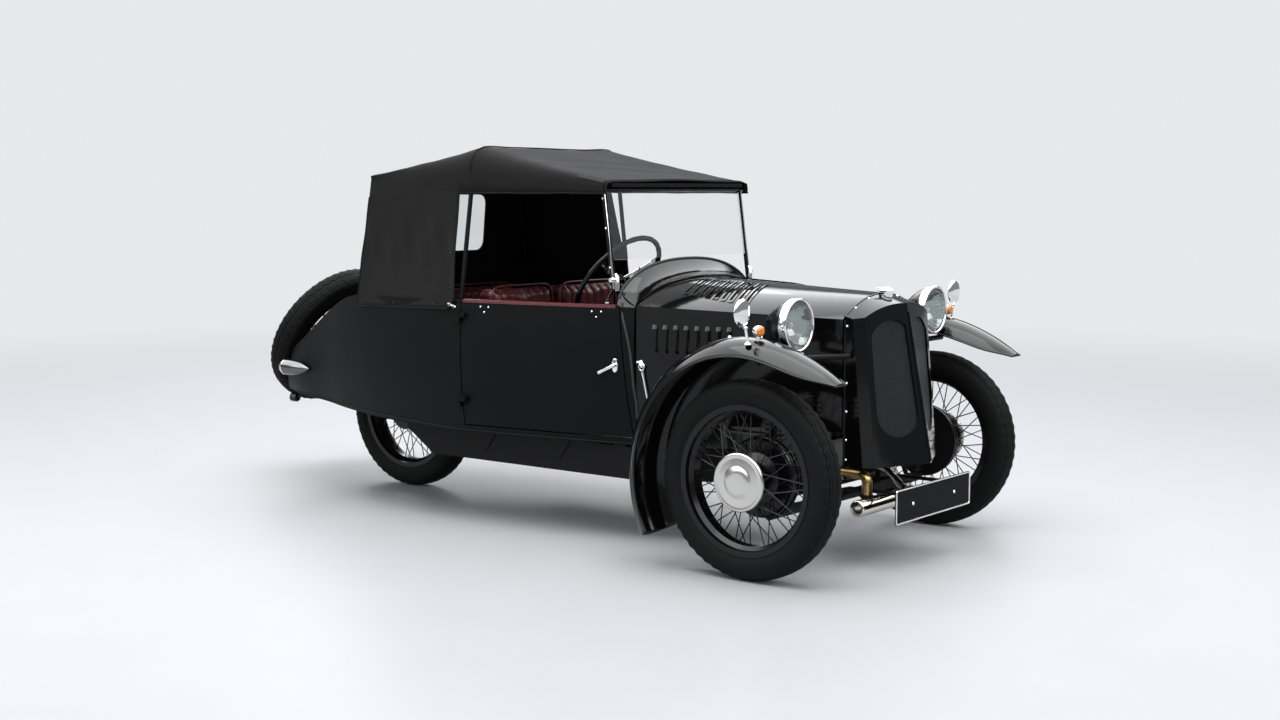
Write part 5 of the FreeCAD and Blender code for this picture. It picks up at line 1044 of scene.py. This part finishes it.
across = WHEEL_AXIS.cross(Vector((1, 0, 0)))
for turn in (90, 210, 330):
    a = math.radians(turn)
    out = Vector((1, 0, 0)) * math.cos(a) + across * math.sin(a)
    over = WHEEL_AXIS.cross(out)
    for shift in (-0.006, -0.002, 0.002, 0.006):
        spokes.append(tube([WHEEL_CENTRE + out * 0.02 + over * shift,
                            WHEEL_CENTRE + out * 0.11 + over * shift * 1.4 - WHEEL_AXIS * 0.003,
                            WHEEL_CENTRE + out * 0.199 + over * shift * 1.8], 0.0016, 6))
    clip = WHEEL_CENTRE + out * 0.105 - WHEEL_AXIS * 0.003
    spokes.append(tube([clip - over * 0.011, clip + over * 0.011], 0.0032, 8))
spokes.append(turned([(0.009, 0.0), (0.009, 0.0135), (0.014, 0.0135), (0.017, 0.008), (0.018, 0.0)], 6,
                     wheel_turn))
shaped("steering_spokes", *joined(spokes), chrome, "steering_wheel", "chrome", angle=40)
lever_root = WHEEL_CENTRE - WHEEL_AXIS * 0.030
lever_end = [(-0.006, 0.0), (-0.004, 0.0045), (0.0, 0.006), (0.004, 0.0045), (0.006, 0.0)]
lever = [tube([lever_root, lever_root + Vector((0.045, 0.006, 0.012)),
               lever_root + Vector((0.092, 0.010, 0.030))],
              [0.0035, 0.003, 0.0028], 8),
         turned(lever_end, 14, facing((1, 0, 0.3), lever_root + Vector((0.094, 0.0102, 0.0307))))]
shaped("hand_lever", *joined(lever), chrome, "car", "chrome", angle=40)
GEAR_FOOT = Vector((-0.02, FRONT_AXLE + 0.716, 0.845))
GEAR_LINE = ((0, 0, 0), (0.0, 0.06, 0.012), (-0.01, 0.15, 0.05), (-0.015, 0.19, 0.10))
gear_ball = [(-0.014, 0.0), (-0.012, 0.007), (-0.007, 0.012), (0.0, 0.0145), (0.007, 0.012), (0.012, 0.007),
             (0.014, 0.0)]
gear_gate = [(0.0, 0.018), (0.004, 0.017), (0.006, 0.010), (0.006, 0.0)]
gear = [tube([GEAR_FOOT + Vector(spot) for spot in GEAR_LINE], [0.0065, 0.006, 0.0055, 0.005], 10),
        turned(gear_ball, 20, facing((0, 0.4, 0.9), GEAR_FOOT + Vector((-0.0155, 0.196, 0.110)))),
        turned(gear_gate, 24, facing((0, 1, 0.1), GEAR_FOOT + Vector((0, 0.0015, 0))))]
shaped("gear_lever", *joined(gear), chrome, "car", "chrome", angle=40)


# Number plate: a black plate with a raised silver border, left blank. It is pressed from sheet, and two bolts
# hold it to its bracket in front of the frame.

plate_black = finish("plate_black", (0.0038, 0.0038, 0.0042), 0.50, mottle=0.2, uneven=0.06,
                     Specular_IOR_Level=0.06)
plate_low, plate_high = (Vector(corner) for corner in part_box("number_plate"))
PLATE_MIDDLE = (plate_low + plate_high) / 2
PLATE_HALF = (plate_high - plate_low) / 2
FRONT_FACE, BACK_FACE = -PLATE_HALF.y + 0.0022, PLATE_HALF.y
PLATE_CORNER, BORDER_RISE, BOLT_X = 0.010, 0.0022, 0.15


def plate_ring(grow, y, count=6):
    """A rounded rectangle round the plate, larger than it by a little, at a place along its thickness."""
    half_x, half_z, radius = PLATE_HALF.x + grow, PLATE_HALF.z + grow, PLATE_CORNER + grow
    ring = []
    for sx, sz, first in ((1, 1, 0), (-1, 1, 90), (-1, -1, 180), (1, -1, 270)):
        for k in range(count + 1):
            a = math.radians(first + 90 * k / count)
            x, z = sx * (half_x - radius) + radius * math.cos(a), sz * (half_z - radius) + radius * math.sin(a)
            ring.append(PLATE_MIDDLE + Vector((x, y, z)))
    return ring


back_ring, front_ring = plate_ring(0, BACK_FACE), plate_ring(0, FRONT_FACE)
n = len(back_ring)
faces = skinned(2, n) + [tuple(range(n))[::-1], tuple(range(n, 2 * n))]
shaped("blank_plate", back_ring + front_ring, faces, plate_black, "car", "plate_black", ["number_plate"],
       angle=40)
border = []
for grow, rise in ((-0.0005, 0), (-0.0012, BORDER_RISE), (-0.0052, BORDER_RISE), (-0.0062, 0)):
    border += plate_ring(grow, FRONT_FACE - rise)
silver = finish("silver_border", (0.72, 0.73, 0.74), 0.24, metallic=0.9, mottle=0.06)
shaped("plate_border", border, skinned(4, n), silver, "car", "chrome", angle=40)
bolts = [dome(PLATE_MIDDLE + Vector((x, FRONT_FACE, 0)), (0, -1, 0), 0.0065, 0.0038) for x in (-BOLT_X, BOLT_X)]
shaped("plate_bolts", *joined(bolts), chrome, "car", "chrome", angle=50)


# Lamps: two chrome rimmed headlamps with black bowls, silver reflectors and fluted glasses, small amber
# indicators on the wings, torpedo tail lamps at the back, and a small round lamp under the tail.

lamp_glass = finish("lamp_glass", (0.90, 0.93, 0.92), 0.03, mottle=0.02, uneven=0.01, Transmission_Weight=0.97,
                    IOR=1.18)
reflector = finish("lamp_reflector", (0.34, 0.36, 0.35), 0.12, metallic=1.0, mottle=0.05)
amber_glass = finish("amber_glass", (0.85, 0.27, 0.02), 0.12, mottle=0.12, scale=40, uneven=0.04,
                     Coat_Weight=0.5)
red_glass = finish("red_glass", (0.42, 0.012, 0.010), 0.12, mottle=0.12, scale=40, uneven=0.04, Coat_Weight=0.5)
bulb_white = finish("bulb_white", (0.85, 0.84, 0.78), 0.25, mottle=0.05)
LAMP_X, LAMP_Y, LAMP_Z = 0.477, FRONT_AXLE - 0.091, 0.860
BOWL = [(0.016, 0.0905), (0.020, 0.0895), (0.040, 0.0850), (0.065, 0.0740), (0.090, 0.0580), (0.112, 0.0400),
        (0.127, 0.0210), (0.1335, 0.0085), (0.135, 0.0)]
BEZEL = [(0.0035, 0.0826), (0.0012, 0.0842), (0.0002, 0.0868), (0.0002, 0.0888), (0.0020, 0.0915),
         (0.0060, 0.0928), (0.0190, 0.0929), (0.0270, 0.0918), (0.0300, 0.0908), (0.0320, 0.0890),
         (0.0320, 0.0840), (0.0080, 0.0826)]
DISH = [(0.010, 0.0835), (0.020, 0.0790), (0.036, 0.0680), (0.052, 0.0500), (0.063, 0.0300), (0.068, 0.0120),
        (0.068, 0.0)]
BULB = [(0.030, 0.0), (0.032, 0.006), (0.038, 0.0095), (0.046, 0.0095), (0.054, 0.006), (0.068, 0.006)]
LENS_ROWS, LENS_COLUMNS, LENS_RADIUS, LENS_RISE = 34, 84, 0.0832, 0.0068
FLUTE_DEPTH, FLUTE_PITCH = 0.0011, 0.0088
lenses, mirrors_inside, bulbs = [], [], []
for name, side in SIDES:
    move = facing((0, 1, 0), (side * LAMP_X, LAMP_Y, LAMP_Z))
    shaped(f"headlamp_bowl_{name}", *turned(BOWL, 72, move), enamel, "car", "black_enamel",
           [f"headlamp_{name}"], angle=50)
    shaped(f"headlamp_rim_{name}", *turned(BEZEL, 96, move, closed=True), chrome, "car", "chrome", angle=40)
    mirrors_inside.append(turned(DISH, 64, move))
    bulbs.append(turned(BULB, 20, move))
    points = []
    for i in range(LENS_ROWS + 1):
        share = i / LENS_ROWS
        for a in around(LENS_COLUMNS):
            x, z = LENS_RADIUS * share * math.cos(a), LENS_RADIUS * share * math.sin(a)
            rise = LENS_RISE * (1 - share ** 2) ** 0.8
            flute = FLUTE_DEPTH * abs(math.sin(math.pi * x / FLUTE_PITCH)) * (1 - share ** 8)
            points.append(move @ Vector((0.0042 - rise - flute, z, x)))
    lenses.append((points, skinned(LENS_ROWS + 1, LENS_COLUMNS)))
shaped("headlamp_glass", *joined(lenses), lamp_glass, "car", "clear_glass", ["headlamp_lenses"], angle=30,
       solidify=0.0012)
shaped("headlamp_reflectors", *joined(mirrors_inside), reflector, "car", "chrome", angle=60)
shaped("headlamp_bulbs", *joined(bulbs), bulb_white, "car", "clear_glass", angle=60)

AMBER_LENS = [(-0.0005, 0.0), (0.0003, 0.0080), (0.0025, 0.0140), (0.0070, 0.0180), (0.0130, 0.0189),
              (0.0130, 0.0)]
AMBER_CUP = [(0.0125, 0.0180), (0.0120, 0.0192), (0.0135, 0.0194), (0.0180, 0.0190), (0.0280, 0.0172),
             (0.0370, 0.0120), (0.0425, 0.0060), (0.0440, 0.0)]
AMBER_FOOT = [(0.0, 0.0100), (0.002, 0.0100), (0.004, 0.0070), (0.006, 0.0055)]
ambers, cups = [], []
for _, side in SIDES:
    spot = Vector((side * 0.658, FRONT_AXLE - 0.062, 0.850))
    move = facing((0, 1, 0), spot)
    ambers.append(turned(AMBER_LENS, 36, move))
    cups.append(turned(AMBER_CUP, 36, move))
    cups.append(tube([spot + Vector((0, 0.020, -0.012)), spot + Vector((0, 0.020, -0.047))], [0.0058, 0.0058],
                     16))
    cups.append(turned(AMBER_FOOT, 24, facing((0, 0, 1), spot + Vector((0, 0.020, -0.0465)))))
shaped("indicator_lenses", *joined(ambers), amber_glass, "car", "amber", ["indicators"], angle=45)
shaped("indicator_bodies", *joined(cups), chrome, "car", "chrome", angle=45)

lamp_shell = finish("lamp_shell", (0.15, 0.15, 0.155), 0.20, metallic=1.0, mottle=0.1)
TAIL_SHELL = [(-0.0300, 0.0), (-0.0270, 0.0035), (-0.0100, 0.0130), (0.0150, 0.0230), (0.0450, 0.0305),
              (0.0800, 0.0343), (0.1180, 0.0348), (0.1180, 0.0)]
TAIL_RIM = [(0.1180, 0.0320), (0.1175, 0.0349), (0.1240, 0.0349), (0.1260, 0.0335), (0.1240, 0.0310)]
TAIL_GLASS = [(0.1180, 0.0328), (0.1280, 0.0322), (0.1400, 0.0270), (0.1470, 0.0150), (0.1490, 0.0)]
tail_moves = [facing((0, 1, 0), (side * 0.386, FRONT_AXLE + 2.545, 0.535)) for _, side in SIDES]
shaped("tail_lamp_shells", *joined([turned(TAIL_SHELL, 48, move) for move in tail_moves]), lamp_shell, "car",
       "chrome", ["tail_lamps"], angle=45)
shaped("tail_lamp_rims", *joined([turned(TAIL_RIM, 48, move) for move in tail_moves]), chrome, "car", "chrome",
       angle=45)
shaped("tail_lamp_glasses", *joined([turned(TAIL_GLASS, 48, move) for move in tail_moves]), red_glass, "car",
       "amber", angle=45)


# Mirrors: a round plated shell for each wing, with silvered glass on its rear face. A stalk with a ball joint
# carries it, and the stalk's round foot is bolted to the wing's crown.

silvered = finish("silvered_glass", (0.78, 0.79, 0.80), 0.05, metallic=1.0, mottle=0.03, uneven=0.02)
MIRROR_SHELL = [(0.0000, 0.0), (0.0006, 0.020), (0.0030, 0.036), (0.0066, 0.0445), (0.0095, 0.0468),
                (0.0118, 0.0465), (0.0118, 0.0435)]
MIRROR_BALL = [(-0.0075, 0.0), (-0.006, 0.0045), (0.0, 0.0075), (0.006, 0.0045), (0.0075, 0.0)]
MIRROR_FOOT = [(0.0, 0.0125), (0.003, 0.0122), (0.006, 0.0090), (0.009, 0.0062), (0.009, 0.0)]
shells, glasses = [], []
for _, side in SIDES:
    centre = Vector((side * 0.733, FRONT_AXLE - 0.040, 0.914))
    move = facing((0, 1, 0), centre)
    shells.append(turned(MIRROR_SHELL, 64, move))
    glasses.append(turned([(0.0112, 0.0437), (0.0114, 0.030), (0.0116, 0.0)], 56, move))
    low = Vector((side * 0.707, FRONT_AXLE - 0.034, 0.8075))
    joint = centre + Vector((-side * 0.012, 0.006, -0.050))
    shells.append(tube([low, low + Vector((0, 0, 0.012)), joint], [0.0056, 0.0050, 0.0042], 14))
    shells.append(turned(MIRROR_BALL, 24, facing((0, 1, 0), joint)))
    shells.append(turned(MIRROR_FOOT, 28, facing((0, 0, 1), low)))
    shells.append(tube([joint, centre + Vector((-side * 0.006, 0.005, -0.040))], 0.0036, 10))
shaped("mirror_shells", *joined(shells), chrome, "car", "chrome", ["mirrors"], angle=45)
shaped("mirror_glasses", *joined(glasses), silvered, "car", "chrome", angle=60)


# Bonnet catches and seam strips: a sprung hook with an eye and a ball end pulls each side panel back to the
# body, and a black rubber strip fills the seam between the panel and the body.

CATCH_PLACE, CATCH_LEAN, CATCH_LENGTH = (0.622, 0.660), Vector((0, 0.030, 0.140)), 0.118
CATCH_BALL = [(-0.0055, 0.0), (-0.0040, 0.0038), (0.0, 0.0055), (0.0040, 0.0038), (0.0055, 0.0)]
SEAM = ((0.7195, 0.900), (0.7035, 0.850), (0.6850, 0.790), (0.6690, 0.725), (0.6600, 0.660), (0.6530, 0.600),
        (0.6480, 0.540), (0.6440, 0.480), (0.6400, 0.420))
catches, strips = [], []
for name, side in SIDES:
    panel = f"bonnet_side_{name}"
    spot, normal = on_side([panel], side, *CATCH_PLACE)
    eye = spot + normal * 0.0085
    up = (CATCH_LEAN - normal * normal.dot(CATCH_LEAN)).normalized()
    over = up.cross(normal).normalized()
    for centre, radius, thick in ((eye + up * 0.010, 0.0110, 0.0034), (eye + up * 0.0245, 0.0062, 0.0030)):
        turns = [2 * math.pi * k / 24 for k in range(25)]
        ring = [centre + up * radius * 1.2 * math.cos(a) + over * radius * math.sin(a) for a in turns]
        catches.append(tube(ring, thick, 8, ends=False))
    foot = eye - up * CATCH_LENGTH
    catches.append(tube([eye, eye - up * 0.014, eye - up * 0.030, eye - up * 0.085, foot],
                        [0.0044, 0.0062, 0.0050, 0.0050, 0.0042], 12))
    catches.append(tube([foot + up * 0.012, foot, foot - normal * 0.010], [0.0040, 0.0045, 0.0055], 10))
    catches.append(tube([eye + up * 0.012, eye + up * 0.012 - normal * 0.012], 0.0055, 14))
    ball = eye + up * 0.030 + over * side * 0.012
    catches.append(turned(CATCH_BALL, 18, facing(normal, ball)))
    catches.append(tube([ball, eye + up * 0.026], 0.0026, 8))
    found = [on_side(["body_tub", "scuttle", panel], side, y, z) for y, z in SEAM]
    strips.append(tube([place[0] + Vector((side * 0.0006, 0, 0)) for place in found if place], 0.0052, 8))
shaped("bonnet_catches", *joined(catches), chrome, "car", "chrome", angle=45)
shaped("seam_strips", *joined(strips), seal, "car", "tyre_rubber", angle=60)


# Exhaust: a heat stained downpipe in front of the axle, a polished cross silencer in front of the frame, and
# a tail pipe back along the frame's left side. Clamps with bolts join the pipes to the silencer.

stained = finish("stained_steel", (0.44, 0.31, 0.13), 0.30, metallic=1.0, mottle=0.45, scale=16, uneven=0.12)
polished_steel = finish("polished_steel", (0.66, 0.63, 0.55), 0.17, metallic=1.0, mottle=0.12, scale=9,
                        uneven=0.06)


def bent(corners, radius=0.030, steps=6):
    """A path with its corners rounded, as a pipe is bent."""
    corners = [Vector(p) for p in corners]
    path = [corners[0]]
    for before, here, after in zip(corners, corners[1:], corners[2:]):
        reach = min(radius, (here - before).length * 0.45, (after - here).length * 0.45)
        start, end = here + (before - here).normalized() * reach, here + (after - here).normalized() * reach
        path += [start.lerp(here, t).lerp(here.lerp(end, t), t) for t in (k / steps for k in range(steps + 1))]
    return path + [corners[-1]]


EXHAUST_Y, SILENCER_Z, TAIL_PIPE_Z = FRONT_AXLE - 0.200, 0.212, 0.299
down = bent([(-0.1153, FRONT_AXLE + 0.080, 0.470), (-0.1603, FRONT_AXLE + 0.080, 0.470),
             (-0.1603, FRONT_AXLE + 0.040, 0.321), (-0.205, EXHAUST_Y, 0.321), (-0.205, EXHAUST_Y, 0.2385)])
flange = [(-0.002, 0.0), (-0.002, 0.028), (0.006, 0.030), (0.006, 0.019)]
pipes = [tube(down, 0.0190, 24), turned(flange, 24, facing((1, 0, 0), (-0.1222, FRONT_AXLE + 0.080, 0.470)))]
shaped("exhaust_downpipe", *joined(pipes), stained, "car", "stained_steel", angle=45)
SILENCER = [(0.0, 0.0), (0.0, 0.0240), (0.0016, 0.0272), (0.0045, 0.0290), (0.0075, 0.0298), (0.0100, 0.0290),
            (0.0125, 0.0290), (0.0150, 0.0299), (0.3850, 0.0299), (0.3880, 0.0290), (0.3905, 0.0290),
            (0.3930, 0.0298), (0.3960, 0.0290), (0.3985, 0.0272), (0.4000, 0.0240), (0.4000, 0.0)]
tail = bent([(0.095, EXHAUST_Y, SILENCER_Z), (0.150, FRONT_AXLE - 0.060, TAIL_PIPE_Z),
             (0.150, FRONT_AXLE + 1.880, TAIL_PIPE_Z)], 0.05)
silencer = [turned(SILENCER, 64, facing((1, 0, 0), (-0.275, EXHAUST_Y, SILENCER_Z))),
            tube(tail, 0.0138, 20, ends=False)]
shaped("exhaust_silencer", *joined(silencer), polished_steel, "car", "stained_steel", ["exhaust"], angle=40)
clamps = []
CLAMP_PLACES = [((-0.205, EXHAUST_Y, 0.2475), (0, 0, 1), 0.0195)]
CLAMP_PLACES += [((0.150, FRONT_AXLE + y, TAIL_PIPE_Z), (0, 1, 0), 0.0142) for y in (0.10, 0.95, 1.70)]
for spot, axis, inner in CLAMP_PLACES:
    move = facing(axis, spot)
    clamps.append(turned([(-0.007, inner), (-0.007, inner + 0.0022), (0.007, inner + 0.0022), (0.007, inner)],
                         32, move))
    clamps.append(tube([move @ Vector((x, inner + 0.006, 0)) for x in (-0.006, 0.006)], 0.0048, 6))
shaped("exhaust_clamps", *joined(clamps), chassis_black, "car", "chassis_black", angle=40)


# Small lamp under the tail: a black moulded cup on a bent bracket, with a dark red glass to the rear. The
# bracket is fixed to the tub's underside.

MARKER_X = -0.25
anchor = struck("body_tub", Vector((MARKER_X, FRONT_AXLE + 2.735, 0.250)), Vector((0, 0, 1)))[0]
cup_middle = Vector((MARKER_X, FRONT_AXLE + 2.770, 0.379))
cup = facing((0, 1, 0), cup_middle)
CUP = [(-0.024, 0.0), (-0.023, 0.012), (-0.018, 0.0185), (-0.010, 0.0205), (0.016, 0.0212), (0.018, 0.0195),
       (0.014, 0.0180)]
bracket = [anchor + Vector((0, 0, 0.002)), Vector((MARKER_X, anchor.y, cup_middle.z + 0.006)),
           cup_middle + Vector((0, -0.012, 0.004))]
shaped("tail_marker", *joined([turned(CUP, 8, cup), tube(bracket, 0.0065, 10)]), enamel, "car", "black_enamel",
       bevel=0.0008, angle=35)
shaped("tail_marker_glass", *turned([(0.0145, 0.0182), (0.0185, 0.0150), (0.0200, 0.0)], 24, cup), red_glass,
       "car", "amber", angle=50)


# Engine: a cast block with a flanged sump, a bolted and finned head with four plugs, a distributor, a dynamo,
# a fan with its belt, and a float chamber with its air intake. It stands for the plain engine block.

ENGINE_FRONT, ENGINE_BACK = FRONT_AXLE + 0.020, FRONT_AXLE + 0.490


def slab(x, y, z, half_x, half_y, half_z):
    """Points and faces of a block; its edges are rounded by the piece's bevel."""
    points = [Vector((x + sx * half_x, y + sy * half_y, z + sz * half_z)) for sx in (-1, 1) for sy in (-1, 1)
              for sz in (-1, 1)]
    return points, [(0, 1, 3, 2), (4, 6, 7, 5), (0, 4, 5, 1), (2, 3, 7, 6), (0, 2, 6, 4), (1, 5, 7, 3)]


mid, half_length = (ENGINE_FRONT + ENGINE_BACK) / 2, (ENGINE_BACK - ENGINE_FRONT) / 2
castings = [slab(0, mid, 0.352, 0.075, half_length - 0.010, 0.050),
            slab(0, mid, 0.408, 0.104, half_length - 0.002, 0.006),
            slab(0, mid + 0.010, 0.472, 0.088, half_length - 0.020, 0.060),
            slab(0, mid + 0.012, 0.573, 0.070, half_length - 0.045, 0.046),
            slab(0.078, mid + 0.012, 0.560, 0.010, half_length - 0.080, 0.030),
            slab(0, ENGINE_BACK - 0.012, 0.452, 0.1145, 0.012, 0.110)]
castings += [slab(0, ENGINE_FRONT + 0.045 + k * 0.060, 0.352, 0.079, 0.003, 0.044) for k in range(7)]
DYNAMO = [(0.0, 0.0), (0.0, 0.034), (0.010, 0.040), (0.150, 0.040), (0.160, 0.034), (0.160, 0.012),
          (0.180, 0.012), (0.180, 0.0)]
castings.append(turned(DYNAMO, 32, facing((0, -1, 0), (-0.072, ENGINE_FRONT + 0.200, 0.500))))
shaped("engine_castings", *joined(castings), cast_metal, "car", "cast_metal", ["engine"], bevel=0.0035,
       angle=40)
head = [slab(0, mid + 0.012, 0.633, 0.074, half_length - 0.040, 0.013)]
head += [slab(0, ENGINE_FRONT + 0.062 + k * 0.0290, 0.653, 0.058, 0.0035, 0.0085) for k in range(14)]
shaped("engine_head", *joined(head), cast_metal, "car", "cast_metal", bevel=0.0015, angle=40)

PLUG = [(0.0, 0.0105), (0.012, 0.0105), (0.013, 0.0065), (0.034, 0.0058), (0.036, 0.0035), (0.043, 0.0035),
        (0.044, 0.0)]
HEAD_BOLT = [(0.0, 0.0085), (0.006, 0.0085), (0.007, 0.0045), (0.013, 0.0045), (0.013, 0.0)]
plug_places = [Vector((-0.030, ENGINE_FRONT + 0.085 + k * 0.105, 0.646)) for k in range(4)]
plugs = [turned(PLUG, 6, facing((0, 0, 1), base)) for base in plug_places]
bolts = [turned(HEAD_BOLT, 6, facing((0, 0, 1), (x, base.y + dy, 0.6455)))
         for base in plug_places for x in (-0.062, 0.062) for dy in (-0.020, 0.030)]
shaped("engine_plugs", *joined(plugs + bolts), polished_steel, "car", "cast_metal", angle=40)
DISTRIBUTOR = [(0.0, 0.0), (0.0, 0.020), (0.045, 0.020), (0.052, 0.028), (0.080, 0.028), (0.088, 0.018),
               (0.088, 0.0)]
shaped("engine_distributor", *turned(DISTRIBUTOR, 24, facing((0.15, 0, 1), (0.086, mid, 0.520))), seal, "car",
       "tyre_rubber", angle=50)

FAN_Z, PULLEY_Z, BELT_RADIUS = 0.585, 0.430, 0.030
fan_hub = [(0.0, 0.0), (0.0, 0.020), (0.016, 0.020), (0.018, 0.030), (0.022, 0.026), (0.026, 0.030),
           (0.028, 0.0)]
fan = [turned(fan_hub, 32, facing((0, 1, 0), (0, ENGINE_FRONT, FAN_Z)))]
root = Vector((0, ENGINE_FRONT + 0.006, FAN_Z))
for k in range(4):
    a = math.radians(45 + 90 * k)
    out, over = Vector((math.cos(a), 0, math.sin(a))), Vector((-math.sin(a), 0, math.cos(a)))
    corners = ((0.015, -0.010, 0.004), (0.015, 0.010, -0.004), (0.100, 0.022, -0.0055), (0.100, -0.022, 0.0065))
    fan.append(([root + out * reach + over * wide + Vector((0, twist, 0)) for reach, wide, twist in corners],
                [(0, 1, 2, 3)]))
shaped("engine_fan", *joined(fan), enamel, "car", "black_enamel", angle=40, solidify=0.0016)
belt = []
for k in range(49):
    a = 2 * math.pi * k / 48
    belt.append(Vector((BELT_RADIUS * math.cos(a), ENGINE_FRONT + 0.024,
                        (FAN_Z if math.sin(a) > 0 else PULLEY_Z) + BELT_RADIUS * math.sin(a))))
groove = [(0.0, 0.0), (0.0, 0.030), (0.004, 0.026), (0.008, 0.030), (0.008, 0.0)]
pulley = turned(groove, 32, facing((0, 1, 0), (0, ENGINE_FRONT + 0.020, PULLEY_Z)))
shaped("engine_belt", *joined([tube(belt, 0.0046, 8, ends=False), pulley]), seal, "car", "tyre_rubber",
       angle=50)
FLOAT_CHAMBER = [(0.0, 0.0), (0.0, 0.018), (0.004, 0.021), (0.050, 0.021), (0.056, 0.016), (0.058, 0.006),
                 (0.066, 0.006), (0.066, 0.0)]
AIR_INTAKE = [(0.0, 0.0), (0.0, 0.016), (0.040, 0.016), (0.044, 0.021), (0.048, 0.021), (0.048, 0.0)]
feed = [turned(FLOAT_CHAMBER, 28, facing((0, 0, 1), (0.092, mid - 0.09, 0.430))),
        turned(AIR_INTAKE, 28, facing((0, -1, 0), (0.090, mid - 0.030, 0.468)))]
shaped("engine_carburettor", *joined(feed), polished_steel, "car", "cast_metal", angle=40)
